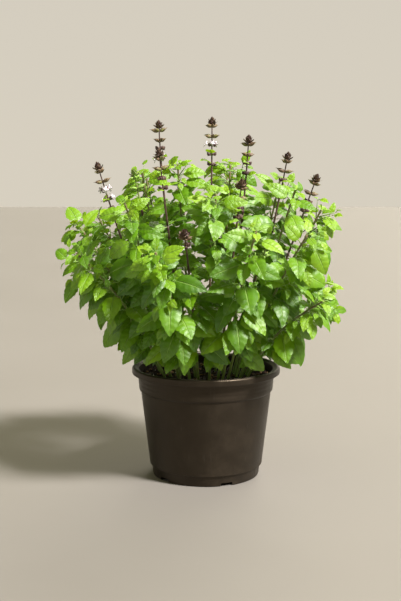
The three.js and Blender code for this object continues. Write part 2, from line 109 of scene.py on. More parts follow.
def make_sun(name, place, strength, width, tone):
    """Sunlight reaches the whole floor alike, and its width in degrees sets how soft the shadows are."""
    bpy.ops.object.light_add(type="SUN", location=place, rotation=facing_turn(place, (0, 0, 0)))
    sun = bpy.context.object
    sun.name = name
    sun.data.energy = strength
    sun.data.angle = math.radians(width)
    sun.data.color = tone


def make_panel():
    """A soft panel on the left, to open the shadows there."""
    bpy.ops.object.light_add(type="AREA", location=PANEL_PLACE, rotation=facing_turn(PANEL_PLACE, AIM))
    panel = bpy.context.object
    panel.name = "left panel"
    panel.data.size = PANEL_SIZE
    panel.data.energy = PANEL_POWER


def fill_ramp(ramp, steps):
    """Sets the steps of a colour ramp, each a place from 0 to 1 and its colour."""
    while len(ramp.elements) < len(steps):
        ramp.elements.new(0.5)
    for element, (place, colour) in zip(ramp.elements, steps):
        element.position = place
        element.color = (*colour, 1)


def make_sky():
    """A pale room, bright at the horizon and overhead and dim in between, for the leaves to mirror."""
    world = bpy.data.worlds.new("pale room")
    world.use_nodes = True
    tree = world.node_tree
    background = tree.nodes["Background"]
    background.inputs["Strength"].default_value = SKY_STRENGTH
    where = tree.nodes.new("ShaderNodeTexCoord")
    split = tree.nodes.new("ShaderNodeSeparateXYZ")
    ramp = tree.nodes.new("ShaderNodeValToRGB")
    tree.links.new(where.outputs["Generated"], split.inputs["Vector"])
    tree.links.new(split.outputs["Z"], ramp.inputs["Fac"])
    tree.links.new(ramp.outputs["Color"], background.inputs["Color"])
    fill_ramp(ramp.color_ramp, SKY_STEPS)
    bpy.context.scene.world = world


for name, facts in SUNS.items():
    make_sun(name, **facts)
make_panel()
make_sky()
bpy.context.scene.view_settings.view_transform = "Standard"
print("lights:", ", ".join(SUNS), "and a panel")

# %% [markdown]
# ## How the plant grows
#
# A real basil stem bears pairs of leaves, each pair a quarter turn from the last, small at the tip and
# large below. The rule here does the same. Each stem is one easy curve from the soil to its tip.
# Each leaf is tried at its place with a few seeded draws until one clears the stems and the leaves
# that stand already. It is worked out in millimetres, with numpy, because its decisions have to come
# out the same as those that made the solids.

# %% The sizes that the rule follows, in millimetres
POT_HEIGHT = 126
RIM_RADIUS = 85
SOIL_LEVEL = 116
HOLE_DEPTH = 22
CROWN_Z = 250
CROWN_RADIUS = 166
CROWN_ABOVE = 122
CROWN_BELOW = 150
CROWN_LOWEST = 131
CROWN_OVERREACH = 1.08
SHADE_Z = 205
SHADE_RADIUS = 91
SHADE_HALF_HEIGHT = 104
LEAFY_STEMS = 24
STEM_DRAWS = 400
FULL_REACH = 0.86
ROOT_SPREAD = 62
STEEP_DRAW_IN = 0.25
STEM_LEAN = 0.42
STEM_RISE = 0.62
LOWEST_TIP = 150
STEEP_SPAN = 200
STEM_RADIUS_LOW = 1.35
STEM_RADIUS_HIGH = 0.85
STEM_STEPS = 48
STEM_APART = 6.2
TIP_APART = 40
TIP_POLAR = (18, 108)
TIP_OUT = (0.88, 0.97)
# For each pair of leaves from the tip down: how far below the tip it sits, and its blade's length
LEVELS = [(3, 17), (13, 25), (28, 31), (46, 35), (66, 37), (88, 37), (110, 36), (133, 34), (156, 32)]
SMALL_LEAF = 20
BARE_FOOT = 24
HALF_WIDTH_SHARE = 0.32
TRIES = 12
TURN_FREE = 0.3
TURN_FREER = 0.06
YOUNGEST = 0.6
YOUNG_LOSS = 0.25
ACROSS_STEM = 0.85
ALONG_STEM = 0.2
ALONG_YOUNG = 0.35
OUTWARDS = 0.25
SAG = 0.1
SAG_MORE = 0.07
SAG_LEVELS = 6
STALK_SHARE = 0.24
SMALL_STALK_SHARE = 0.2
LIGHT_UP = 0.6
LIGHT_OUT = 0.35
LIGHT_FRONT = 0.6
EDGE_SKEW = 0.78
EDGE_FULLNESS = 0.64
EDGE_NARROWING = 0.45
CUPPING = 0.4
DROOPS = (-0.15, 0.25)
ROLLS = (-0.45, 0.45)
SIZES = (0.86, 1.14)
STALKS = (0.8, 1.2)
WIDTHS = (0.9, 1.12)
BENDS = (0.5, 1.1)
FOLDS = (0.2, 0.48)
SAMPLE_STEP = 2.6
LEAF_APART = 4.8
STEM_CLEAR = 3.9
SPIKE_CLEAR = 8.4
# For each flower spike: where its tip is, and its length
SPIKES = [
    ((-119, -45, 359), 92),
    ((-80, -30, 352), 46),
    ((-53, -5, 405), 92),
    ((-50, -80, 373), 84),
    ((7, 30, 410), 96),
    ((48, 0, 389), 84),
    ((37, -95, 342), 76),
    ((91, -20, 370), 86),
    ((120, -55, 346), 92),
    ((-23, -122, 291), 48),
    ((65, -112, 281), 40),
    ((-30, 116, 334), 58),
]
HEAD_LENGTH = 9.5
FIRST_WHORL = 2.2
BARE_SHARE = 0.4
WHORL_GAP = 11
WHORL_SHIFTS = (-0.6, 0.6)
GAP = 0.3


# %% Draws and stems
def draws(start):
    """A repeatable stream of numbers between a low and a high one."""
    state = start

    def draw(low=0.0, high=1.0):
        nonlocal state
        state = state * 48271 % 2147483647
        return low + ((high - low) * state) / 2147483647

    return draw


def unit(vector):
    return vector / np.linalg.norm(vector)


def stem_of(tip, end):
    """A stem that rises from the soil and bows out to its tip; its last stretch, end, is its spike."""
    tip = np.array(tip, float)
    flat = tip * (1, 1, 0)
    reach = min(np.linalg.norm(flat) / (CROWN_RADIUS * FULL_REACH), 1)
    steep = min(max((tip[2] - LOWEST_TIP) / STEEP_SPAN, 0), 1)
    spread = ROOT_SPREAD * reach * (1 - STEEP_DRAW_IN * steep * reach)
    root = unit(flat) * spread + UP * SOIL_LEVEL
    lean = unit(UP + unit(flat) * STEM_LEAN * reach)
    middle = root + lean * (tip[2] - SOIL_LEVEL) * STEM_RISE
    t = np.arange(STEM_STEPS + 1)[:, None] / STEM_STEPS
    points = root * (1 - t) ** 2 + middle * 2 * t * (1 - t) + tip * t * t
    lengths = np.concatenate(([0], np.cumsum(np.linalg.norm(np.diff(points, axis=0), axis=1))))
    full = lengths[-1]
    top = full - end
    keep = np.where((lengths > top - 2) & (end > 0), SPIKE_CLEAR, STEM_CLEAR)
    turn = math.atan2(tip[1], tip[0])
    return SimpleNamespace(
        root=root, tip=tip, lean=lean, points=points, lengths=lengths, full=full, top=top, keep=keep,
        turn=turn, leaves=[], shoots=[],
    )


def place_on(stem, length):
    """The place and direction on a stem that lies a given length above the soil."""
    wanted = min(max(length, 0), stem.full)
    i = min(max(int(np.searchsorted(stem.lengths, wanted)), 1), STEM_STEPS)
    share = (wanted - stem.lengths[i - 1]) / (stem.lengths[i] - stem.lengths[i - 1])
    step = stem.points[i] - stem.points[i - 1]
    return stem.points[i - 1] + step * share, unit(step)


def stems_apart(one, other):
    """True where two stems and their spikes leave room between them all the way."""
    gaps = np.linalg.norm(one.points[:, None] - other.points[None], axis=2)
    room = np.maximum(one.keep[:, None], other.keep[None]) + STEM_RADIUS_LOW
    return bool((gaps > np.maximum(room, STEM_APART)).all())


def all_stems():
    """The stems that flower, by their spikes, then the leafy ones, spread evenly over the crown."""
    stems = [stem_of(tip, length) for tip, length in SPIKES]
    golden = math.pi * (3 - math.sqrt(5))
    draw = draws(2237)
    for i in range(STEM_DRAWS):
        if len(stems) == len(SPIKES) + LEAFY_STEMS:
            break
        polar = math.radians(draw(*TIP_POLAR))
        out = draw(*TIP_OUT)
        flat = math.sin(polar) * CROWN_RADIUS * out
        tall = CROWN_ABOVE if polar < math.pi / 2 else CROWN_BELOW
        height = CROWN_Z + math.cos(polar) * tall * out
        stem = stem_of((math.cos(i * golden) * flat, math.sin(i * golden) * flat, height), 0)
        ends = [place_on(other, other.top)[0] for other in stems]
        own_place = all(np.linalg.norm(end - stem.tip) > TIP_APART for end in ends)
        if own_place and all(stems_apart(stem, other) for other in stems):
            stems.append(stem)
    return stems


stems = all_stems()
print("stems:", len(stems), "longest in mm:", round(max(stem.full for stem in stems)))


# %% The form of one leaf
def leaf_from(point, direction, turn, young, sag, length, draw):
    """A leaf: its root, the foot of its blade, the way it points, its upper side and its bend."""
    flat = math.hypot(point[0], point[1])
    out = point * (1, 1, 0) / flat
    across = unit(np.cross(direction, out))
    facing = unit(np.cross(across, direction))
    sideways = across * math.cos(turn) + facing * math.sin(turn)
    along = ALONG_STEM + ALONG_YOUNG * young
    petiole = unit(sideways * ACROSS_STEM + direction * along + out * OUTWARDS)
    droop = sag * (1 - young) + draw(*DROOPS)
    axis = unit(petiole - UP * droop)
    light = UP * LIGHT_UP + out * (LIGHT_OUT * flat / CROWN_RADIUS) + FRONT * LIGHT_FRONT
    normal = unit(light - axis * light.dot(axis))
    roll = draw(*ROLLS)
    normal = normal * math.cos(roll) + np.cross(axis, normal) * math.sin(roll)
    size = length * draw(*SIZES)
    reach = (SMALL_STALK_SHARE if length < SMALL_LEAF else STALK_SHARE) * size * draw(*STALKS)
    return SimpleNamespace(
        root=point, foot=point + petiole * (reach + 1.5), axis=axis, normal=normal,
        side=np.cross(normal, axis), length=size, half_width=size * HALF_WIDTH_SHARE * draw(*WIDTHS),
        bend=draw(*BENDS), fold=draw(*FOLDS), young=young, sideways=sideways, direction=direction,
    )


def leaf_of(stem, level, side, freedom, draw):
    """One leaf of a stem's own pairs, turned a little at random by as much as its freedom."""
    below, length = LEVELS[level]
    point, direction = place_on(stem, stem.top - below)
    turn = side * math.pi + (level % 2) * (math.pi / 2) + stem.turn + draw(-freedom, freedom)
    sag = SAG + SAG_MORE * min(level, SAG_LEVELS)
    young = max(0, YOUNGEST - YOUNG_LOSS * level)
    return leaf_from(point, direction, turn, young, sag, length, draw)


def blade_points(leaf, u, across, lift=0.0):
    """Points of the blade, u from its foot to its tip and across from its right edge to its left one."""
    u, across, lift = (np.asarray(value, float)[..., None] for value in (u, across, lift))
    angle = leaf.bend * u
    middle = leaf.foot + leaf.axis * (leaf.length * np.sin(angle) / leaf.bend)
    middle = middle - leaf.normal * (leaf.length * (1 - np.cos(angle)) / leaf.bend)
    normal = leaf.normal * np.cos(angle) + leaf.axis * np.sin(angle)
    width = leaf.half_width * across
    rise = np.abs(width) * math.sin(leaf.fold) - CUPPING * leaf.half_width * across * across
    return middle + leaf.side * (width * math.cos(leaf.fold)) + normal * (rise + lift)


def outline(u):
    """How wide a basil blade is along its length, as a share of its widest."""
    swelling = max(math.sin(math.pi * u**EDGE_SKEW), 0)
    return swelling**EDGE_FULLNESS * (1 - EDGE_NARROWING * u**3)


widest = max(range(101), key=lambda i: outline(i / 100))
print("a blade is widest at this percentage of its length:", widest)

# %% Where a leaf fits
STALK_SAMPLES = (0.5, 0.8)
POT_CLEAR = 3
POT_INSIDE = 13
SOIL_CLEAR = 5
LEAF_HALF_SPAN = 0.62
MOST_LEAVES = 4000


def samples_of(leaf):
    """Points spread over a blade and its stalk, and how far along the blade each one is."""
    rows = max(3, math.ceil(leaf.length / SAMPLE_STEP))
    along, across = [], []
    for i in range(rows + 1):
        share = max(outline(i / rows), 0.02)
        columns = math.ceil((leaf.half_width * share) / SAMPLE_STEP)
        for j in range(-columns, columns + 1):
            along.append(i / rows)
            across.append(share * j / columns)
    stalk = [leaf.root + (leaf.foot - leaf.root) * share for share in STALK_SAMPLES]
    points = np.vstack([blade_points(leaf, along, across), stalk])
    return points, np.array(along + [0, 0])


def in_shade(point, share=1.0):
    """True in the dim heart of the crown, where leaves have fallen."""
    flat = math.hypot(point[0], point[1]) / SHADE_RADIUS
    tall = (point[2] - SHADE_Z) / SHADE_HALF_HEIGHT
    return math.hypot(flat, tall) < share


def inside_crown(point):
    """True within the rounded outline that the crown fills."""
    flat = math.hypot(point[0], point[1]) / CROWN_RADIUS
    tall = (point[2] - CROWN_Z) / (CROWN_ABOVE if point[2] > CROWN_Z else CROWN_BELOW)
    return math.hypot(flat, tall) < CROWN_OVERREACH and point[2] > CROWN_LOWEST


def clear_of_pot(points):
    """True where all points lie above the pot, beside it, or over the soil and away from the wall."""
    flat = np.hypot(points[:, 0], points[:, 1])
    within = (flat < RIM_RADIUS - POT_INSIDE) & (points[:, 2] > SOIL_LEVEL + SOIL_CLEAR)
    outside = (points[:, 2] > POT_HEIGHT + POT_CLEAR) | (flat > RIM_RADIUS + POT_CLEAR)
    return bool((within | outside).all())


class Crowd:
    """The leaves that stand already, with what a new one has to keep clear of."""

    def __init__(self, stems):
        self.stem_points = np.vstack([stem.points for stem in stems])
        self.keep = np.concatenate([stem.keep for stem in stems])
        self.owner = np.repeat(np.arange(len(stems)), STEM_STEPS + 1)
        self.leaves = []
        self.middles = np.zeros((MOST_LEAVES, 3))
        self.lengths = np.zeros(MOST_LEAVES)

    def add(self, leaf, owner):
        leaf.owner = owner
        self.middles[len(self.leaves)] = leaf.middle
        self.lengths[len(self.leaves)] = leaf.length
        self.leaves.append(leaf)

    def near_stem(self, leaf, owner, ease):
        """True where a leaf comes too near a stem; its foot may come near its own."""
        close = np.linalg.norm(self.stem_points - leaf.middle, axis=1) < leaf.length + SPIKE_CLEAR
        gaps = np.linalg.norm(leaf.points[:, None] - self.stem_points[None, close], axis=2)
        hits = gaps < np.where(self.keep[close] == STEM_CLEAR, ease, min(2 * ease, 1)) * self.keep[close]
        own = (self.owner[close] == owner) & (self.keep[close] == STEM_CLEAR)
        hits[np.ix_(leaf.along < 0.3, own)] = False
        return bool(hits.any())

    def near_leaf(self, leaf, owner, apart):
        """True where a leaf comes too near another; the feet of leaves of one stem may meet."""
        count = len(self.leaves)
        reach = (self.lengths[:count] + leaf.length) * LEAF_HALF_SPAN + apart
        far = np.linalg.norm(self.middles[:count] - leaf.middle, axis=1)
        for i in np.flatnonzero(far <= reach):
            other = self.leaves[i]
            hits = np.linalg.norm(leaf.points[:, None] - other.points[None], axis=2) < apart
            if other.owner == owner:
                hits[np.ix_(leaf.along < 0.2, other.along < 0.2)] = False
            if hits.any():
                return True
        return False


def leaf_fits(leaf, owner, crowd, apart=LEAF_APART, ease=1.0, shade=1.0):
    """True where a leaf has room. A lower ease or shade lets it nearer the stems or the crown's heart."""
    leaf.points, leaf.along = samples_of(leaf)
    leaf.middle = blade_points(leaf, 0.5, 0)
    if in_shade(leaf.middle, shade) or not clear_of_pot(leaf.points):
        return False
    if leaf.length > SMALL_LEAF and not inside_crown(blade_points(leaf, 1, 0)):
        return False
    return not crowd.near_stem(leaf, owner, ease) and not crowd.near_leaf(leaf, owner, apart)


# %% Grow the leaves that the solids have
def grow_leaves(stems, crowd):
    """Level by level from the tips down, each leaf where it finds room."""
    draw = draws(7707)
    for level, (below, _) in enumerate(LEVELS):
        for owner, stem in enumerate(stems):
            if stem.top - below < BARE_FOOT:
                continue
            for side in (0, 1):
                for i in range(TRIES):
                    leaf = leaf_of(stem, level, side, TURN_FREE + TURN_FREER * i, draw)
                    if leaf_fits(leaf, owner, crowd):
                        crowd.add(leaf, owner)
                        stem.leaves.append(leaf)
                        break


crowd = Crowd(stems)
grow_leaves(stems, crowd)
print("leaves of the solids:", len(crowd.leaves))

# %% [markdown]
# ## The leaves that are too many for the solids
#
# The solids hold the leaves that give the crown its form. The real plant has about five times as
# many: more large ones in between, a short side shoot with small leaves in nearly every axil, and a
# tuft of tiny bright ones on each tip. They come from a second seeded stream, after the first, so
# that they only take room which the first has left. None may hang right in front of a flower
# spike's stalk, because the dark stalks show all the way down into the crown.

# %% Grow the rest
FILL_FIRST = 9.0
FILL_STEP = 6
FILL_LOWEST = 14
FILL_TRIES = 8
FILL_SIZES = (0.66, 1.06)
FILL_LEVEL_HEIGHT = 20
FILL_YOUNGEST = 0.5
FILL_YOUNG_HEIGHT = 60
FILL_APART = 2.4
FILL_EASE = 0.62
FILL_SHADE = 0.9
LANE_HALF_WIDTH = 3.4
LANE_DEPTH = 75
SHOOT_REACH = (5, 24)
SHOOT_SIDEWAYS = (0.4, 0.9)
SHOOT_ALONG = 0.7
SHOOT_OUTWARDS = (0, 0.5)
SHOOT_SAG = 0.35
SHOOT_SIZES = (0.75, 1.25)
SHOOT_APART = 1.7
SHOOT_EASE = 0.5
# For each pair on a side shoot: its share of the shoot's reach, its leaves' length and their youth
SHOOT_PAIRS = [(0.45, 22, 0.1), (0.8, 17, 0.3), (1.0, 10, 0.7)]
TUFT_SAG = 0.2
TUFT_TURNS = (-0.3, 0.3)
TUFT_SIZES = (0.8, 1.2)
TUFT_APART = 1.0
# For each pair of a tuft: how far below the stem's top it sits, its leaves' length and their youth
TUFT_PAIRS = [(2, 14, 0.3), (0.5, 10, 0.5), (0, 6, 0.9)]


def usual_length(below):
    """The length of a stem's own leaves at a place below its top."""
    places, lengths = zip(*LEVELS)
    return float(np.interp(below, places, lengths))


def before_spike(leaf, crowd):
    """True where a leaf would hang right in front of a flower spike's stalk."""
    stalks = crowd.stem_points[crowd.keep == SPIKE_CLEAR]
    away = leaf.points[:, None] - stalks[None]
    beside, ahead, over = np.abs(away[..., 0]), -away[..., 1], np.abs(away[..., 2])
    in_lane = (beside < LANE_HALF_WIDTH) & (over < LANE_HALF_WIDTH)
    return bool((in_lane & (ahead > 0) & (ahead < LANE_DEPTH)).any())


def keep_leaf(leaf, owner, crowd, apart, ease):
    """Adds a leaf to its stem where it fits, and says whether it did."""
    if not leaf_fits(leaf, owner, crowd, apart, ease, FILL_SHADE) or before_spike(leaf, crowd):
        return False
    crowd.add(leaf, owner)
    stems[owner].leaves.append(leaf)
    return True


def fill_between(stems, crowd, draw):
    """More large leaves up each stem, wherever one still fits."""
    for owner, stem in enumerate(stems):
        below = FILL_FIRST
        while stem.top - below > FILL_LOWEST:
            for _ in range(FILL_TRIES):
                point, direction = place_on(stem, stem.top - below)
                length = usual_length(below) * draw(*FILL_SIZES)
                young = max(0, FILL_YOUNGEST - below / FILL_YOUNG_HEIGHT)
                sag = SAG + SAG_MORE * min(below / FILL_LEVEL_HEIGHT, SAG_LEVELS)
                leaf = leaf_from(point, direction, draw(0, 2 * math.pi), young, sag, length, draw)
                if keep_leaf(leaf, owner, crowd, FILL_APART, FILL_EASE):
                    break
            below += FILL_STEP


def grow_side_shoots(stems, crowd, draw):
    """A shoot in each axil that leans out, with pairs of leaves that get smaller to its tip."""
    for mother in [leaf for leaf in crowd.leaves if leaf.length > SMALL_LEAF]:
        out = unit(mother.root * (1, 1, 0))
        sideways = mother.sideways * draw(*SHOOT_SIDEWAYS)
        axis = unit(sideways + mother.direction * SHOOT_ALONG + out * draw(*SHOOT_OUTWARDS))
        reach = draw(*SHOOT_REACH)
        turn = draw(0, math.pi)
        grown = 0
        for pair, (share, length, young) in enumerate(SHOOT_PAIRS):
            point = mother.root + axis * reach * share
            for side in (0, 1):
                facing = turn + side * math.pi + pair * math.pi / 2
                size = length * draw(*SHOOT_SIZES)
                leaf = leaf_from(point, axis, facing, young, SHOOT_SAG, size, draw)
                if keep_leaf(leaf, mother.owner, crowd, SHOOT_APART, SHOOT_EASE):
                    grown = share
        if grown:
            stems[mother.owner].shoots.append((mother.root, mother.root + axis * reach * grown))


def grow_tufts(stems, crowd, draw):
    """Small bright leaves in pairs round each tip and round the foot of each spike."""
    for owner, stem in enumerate(stems):
        for pair, (below, length, young) in enumerate(TUFT_PAIRS):
            point, direction = place_on(stem, stem.top - below)
            for side in (0, 1):
                turn = stem.turn + side * math.pi + (pair + 0.5) * math.pi / 2 + draw(*TUFT_TURNS)
                size = length * draw(*TUFT_SIZES)
                leaf = leaf_from(point, direction, turn, young, TUFT_SAG, size, draw)
                keep_leaf(leaf, owner, crowd, TUFT_APART, 0.0)


second = draws(5309)
grow_tufts(stems, crowd, second)
fill_between(stems, crowd, second)
grow_side_shoots(stems, crowd, second)
small = sum(leaf.length < SMALL_LEAF for leaf in crowd.leaves)
print("leaves in all:", len(crowd.leaves), "of them small:", small)

# %% [markdown]
# ## Working in edit mode from a script
#
# An operator acts on whatever is selected, so every step here first deselects everything, opens one
# object, and picks vertices by a rule on their place. That is the same as picking them by hand, and
# it still works when a size changes.

# %% Small helpers for edit mode


def open_object(obj):
    bpy.ops.object.select_all(action="DESELECT")
    obj.select_set(True)
    bpy.context.view_layer.objects.active = obj
    bpy.ops.object.mode_set(mode="EDIT")
    bpy.ops.mesh.select_mode(type="VERT")
    bpy.ops.mesh.select_all(action="DESELECT")


def close_object():
    bpy.ops.object.mode_set(mode="OBJECT")
    bpy.ops.object.select_all(action="DESELECT")


def choose(obj, rule):
    """Selects the vertices whose place obeys the rule, and nothing else."""
    shape = bmesh.from_edit_mesh(obj.data)
    for vertex in shape.verts:
        vertex.select = bool(rule(vertex.co))
    shape.select_flush_mode()
    bmesh.update_edit_mesh(obj.data)


def weld_and_face_out(distance, outwards=True):
    bpy.ops.mesh.select_all(action="SELECT")
    bpy.ops.mesh.remove_doubles(threshold=distance)
    if outwards:
        bpy.ops.mesh.normals_make_consistent(inside=False)


def set_aside(obj, name):
    """Names a finished master and takes it out of the scene, so that only its copies show."""
    obj.name = name
    obj.data.name = name
    for collection in list(obj.users_collection):
        collection.objects.unlink(obj)
    return obj


def places_of(mesh):
    places = np.empty(len(mesh.vertices) * 3)
    mesh.vertices.foreach_get("co", places)
    return places.reshape(-1, 3)


def note_tint(mesh, tint, finish):
    """Writes a tint for each vertex, or one for them all, into a mesh and gives it its finish."""
    noted = mesh.attributes.new("tint", "FLOAT", "POINT")
    tints = np.broadcast_to(np.asarray(tint, np.float32), len(mesh.vertices))
    noted.data.foreach_set("value", tints.copy())
    mesh.materials.clear()
    mesh.materials.append(finish)


def copy_with(master, places, tint, finish):
    """A copy of a master with its own mesh: its vertices moved, its tint noted, its material set."""
    mesh = master.data.copy()
    mesh.vertices.foreach_set("co", np.ascontiguousarray(places, dtype=np.float32).ravel())
    note_tint(mesh, tint, finish)
    copy = bpy.data.objects.new(master.name + " copy", mesh)
    bpy.context.collection.objects.link(copy)
    return copy


def join_as(name, copies):
    """Joins objects into one named piece with its origin at the frame's origin."""
    bpy.ops.object.select_all(action="DESELECT")
    for obj in copies:
        obj.select_set(True)
    bpy.context.view_layer.objects.active = copies[0]
    bpy.ops.object.join()
    piece = bpy.context.object
    piece.name = name
    piece.data.name = name
    bpy.ops.object.select_all(action="DESELECT")
    return piece


def smooth_all(piece):
    for polygon in piece.data.polygons:
        polygon.use_smooth = True


print("helpers ready")

# %% [markdown]
# ## One basil leaf, modelled once
#
# A basil blade is egg-shaped with a long point, has a toothed edge, and puffs up between its side
# veins. A flat grid gives rows that can be bent forward to follow the veins: every second row is a
# vein and ends in a tooth, and the rows between are lifted. The grid's UV map keeps the rows
# straight, so the material can draw the veins as plain stripes. The blade stays one sheet, because
# light shines through a real one, and its stalk and rib are a closed tube under it.

# %% Blade masters
LARGE_ROWS = 12
LARGE_COLUMNS = 6
SMALL_ROWS = 6
SMALL_COLUMNS = 4
SWEEP = 0.5
TOOTH_OUT = 0.05
TOOTH_FORWARD = 0.012
PUFF = 0.034
VEIN_SINK = 0.4
POINT_WIDTH = 0.001
ALIKE = 1e-4


def model_blade(name, rows, columns):
    """A flat grid from 0 to 1 along X, shaped row by row, from its tip back to its foot."""
    bpy.ops.object.select_all(action="DESELECT")
    bpy.ops.mesh.primitive_grid_add(x_subdivisions=rows, y_subdivisions=columns, size=2)
    blade = bpy.context.object
    open_object(blade)
    bpy.ops.mesh.select_all(action="SELECT")
    bpy.ops.transform.translate(value=(1, 0, 0))
    bpy.ops.transform.resize(value=(0.5, 1, 1), center_override=(0, 0, 0))
    for row in range(rows, -1, -1):
        for column in range(1, columns // 2 + 1):
            shape_row(blade, row / rows, 2 * column / columns, row % 2 == 1)
    weld_and_face_out(ALIKE, outwards=False)
    close_object()
    for corner in blade.data.uv_layers["UVMap"].data:
        corner.uv.x *= rows / LARGE_ROWS
    return set_aside(blade, name)


def shape_row(blade, u, across, vein):
    """Sweeps one pair of vertices forward, draws it in to the outline and lifts or lowers it."""
    choose(blade, lambda place: abs(place.x - u) < ALIKE and abs(abs(place.y) - across) < ALIKE)
    edge = across > 0.99
    forward = SWEEP * across * u * (1 - u) + (TOOTH_FORWARD if edge and vein else 0)
    width = outline(min(u + forward, 1))
    if edge:
        width *= 1 + (TOOTH_OUT if vein else -TOOTH_OUT)
    lift = 0 if edge else PUFF * (-VEIN_SINK if vein else 1) * math.sin(math.pi * u)
    bpy.ops.transform.translate(value=(forward, 0, lift))
    bpy.ops.transform.resize(value=(1, max(width, POINT_WIDTH), 1), center_override=(0, 0, 0))


large_blade = model_blade("large blade", LARGE_ROWS, LARGE_COLUMNS)
small_blade = model_blade("small blade", SMALL_ROWS, SMALL_COLUMNS)
for blade in (large_blade, small_blade):
    print("faces of the", blade.name + ":", len(blade.data.polygons))

# %% Stalk and rib master
STALK_RADIUS = 0.55
RIB_DROP = 0.3
RIB_REACH = 0.9
# For each stretch of the rib: where it starts, its length, and how much narrower it ends
RIB_STRETCHES = [(0, 0.35, 0.72), (0.35, 0.3, 0.62), (0.65, RIB_REACH - 0.65, 0.3)]


def model_stalk():
    """A four-sided tube from -1, in the stem, over 0, the blade's foot, to the rib's end near the tip."""
    bpy.ops.object.select_all(action="DESELECT")
    bpy.ops.mesh.primitive_cylinder_add(
        vertices=4, radius=1, depth=1, location=(-0.5, 0, 0), rotation=(0, math.pi / 2, 0)
    )
    stalk = bpy.context.object
    bpy.ops.object.transform_apply(location=True, rotation=True, scale=True)
    open_object(stalk)
    for start, step, shrink in RIB_STRETCHES:
        choose(stalk, lambda place: abs(place.x - start) < ALIKE)
        bpy.ops.mesh.extrude_region_move(TRANSFORM_OT_translate={"value": (step, 0, 0)})
        bpy.ops.transform.resize(value=(1, shrink, shrink), center_override=(start + step, 0, 0))
    weld_and_face_out(ALIKE)
    close_object()
    return set_aside(stalk, "stalk")


stalk = model_stalk()
print("faces of a stalk with its rib:", len(stalk.data.polygons))


def blade_copy(master, leaf, tint, finish):
    """A blade master bent into the form of one leaf."""
    shape = places_of(master.data)
    places = blade_points(leaf, shape[:, 0], shape[:, 1], shape[:, 2] * leaf.half_width)
    return copy_with(master, places * MM, tint, finish)


def stalk_copy(leaf, thick, tint, finish):
    """The stalk master led from the stem to the blade and on under the blade's middle."""
    shape = places_of(stalk.data)
    on_blade = np.clip(shape[:, 0], 0, 1)
    line = blade_points(leaf, on_blade, 0, -RIB_DROP * np.minimum(on_blade * 8, 1))
    before = np.clip(-shape[:, 0], 0, 1)[:, None]
    line = line * (1 - before) + leaf.root * before
    places = line + leaf.side * shape[:, 1:2] * thick + leaf.normal * shape[:, 2:3] * thick
    return copy_with(stalk, places * MM, tint, finish)

# %% [markdown]
# ## Finishes made of nodes
#
# Each finish is a small network of nodes that turns places into colour, gloss and relief. The pot,
# the soil and the stems read Object coordinates, so their grain stays the same size everywhere. The
# leaves read their own UV map, because veins follow a leaf and not the room. A number that each leaf
# or crumb carries in its mesh, its tint, gives every copy its own shade. In the leaves it also
# holds painted shade, darker towards the crown's middle.

# %% Helpers for node networks


def new_finish(name):
    finish = bpy.data.materials.new(name)
    finish.use_nodes = True
    tree = finish.node_tree
    return finish, tree, tree.nodes["Principled BSDF"]


def add_node(tree, kind, **settings):
    node = tree.nodes.new(kind)
    for key, value in settings.items():
        setattr(node, key, value)
    return node


def value_of(tree, source, socket):
    """Links a socket, or sets it where the source is a plain number."""
    if isinstance(source, (int, float)):
        socket.default_value = source
    else:
        tree.links.new(source, socket)


def calculate(tree, operation, first, second=0.0, clamp=False):
    node = add_node(tree, "ShaderNodeMath", operation=operation, use_clamp=clamp)
    value_of(tree, first, node.inputs[0])
    value_of(tree, second, node.inputs[1])
    return node.outputs[0]


def scaled(tree, source, factor, shift=None):
    """A value times a factor, with a shift added where there is one."""
    product = calculate(tree, "MULTIPLY", source, factor)
    return product if shift is None else calculate(tree, "ADD", product, shift)


def smooth_step(tree, source, low, high, start=0.0, end=1.0):
    node = add_node(tree, "ShaderNodeMapRange", interpolation_type="SMOOTHSTEP")
    value_of(tree, source, node.inputs["Value"])
    for socket, value in zip(("From Min", "From Max", "To Min", "To Max"), (low, high, start, end)):
        node.inputs[socket].default_value = value
    return node.outputs["Result"]


def noise(tree, where, scale, detail=3.0, rough=0.55):
    node = add_node(tree, "ShaderNodeTexNoise")
    tree.links.new(where, node.inputs["Vector"])
    node.inputs["Scale"].default_value = scale
    node.inputs["Detail"].default_value = detail
    node.inputs["Roughness"].default_value = rough
    return node.outputs["Fac"]


def colour_steps(tree, source, steps):
    node = add_node(tree, "ShaderNodeValToRGB")
    fill_ramp(node.color_ramp, steps)
    tree.links.new(source, node.inputs["Fac"])
    return node.outputs["Color"]


def blend_colours(tree, share, first, second):
    """Mixes a share of the second colour into the first; either can be a link or plain numbers."""
    node = add_node(tree, "ShaderNodeMix", data_type="RGBA")
    value_of(tree, share, node.inputs["Factor"])
    for source, name in ((first, "A"), (second, "B")):
        socket = next(s for s in node.inputs if s.name == name and s.type == "RGBA")
        if isinstance(source, tuple):
            socket.default_value = (*source, 1)
        else:
            tree.links.new(source, socket)
    return next(s for s in node.outputs if s.type == "RGBA")


def relief(tree, shader, height, strength, distance):
    node = add_node(tree, "ShaderNodeBump")
    node.inputs["Strength"].default_value = strength
    node.inputs["Distance"].default_value = distance
    tree.links.new(height, node.inputs["Height"])
    tree.links.new(node.outputs["Normal"], shader.inputs["Normal"])
    return node.outputs["Normal"]


def object_places(tree):
    return add_node(tree, "ShaderNodeTexCoord").outputs["Object"]


def stretched(tree, places, scale):
    """Places drawn out or pressed together along each axis."""
    node = add_node(tree, "ShaderNodeMapping")
    node.inputs["Scale"].default_value = scale
    tree.links.new(places, node.inputs["Vector"])
    return node.outputs["Vector"]


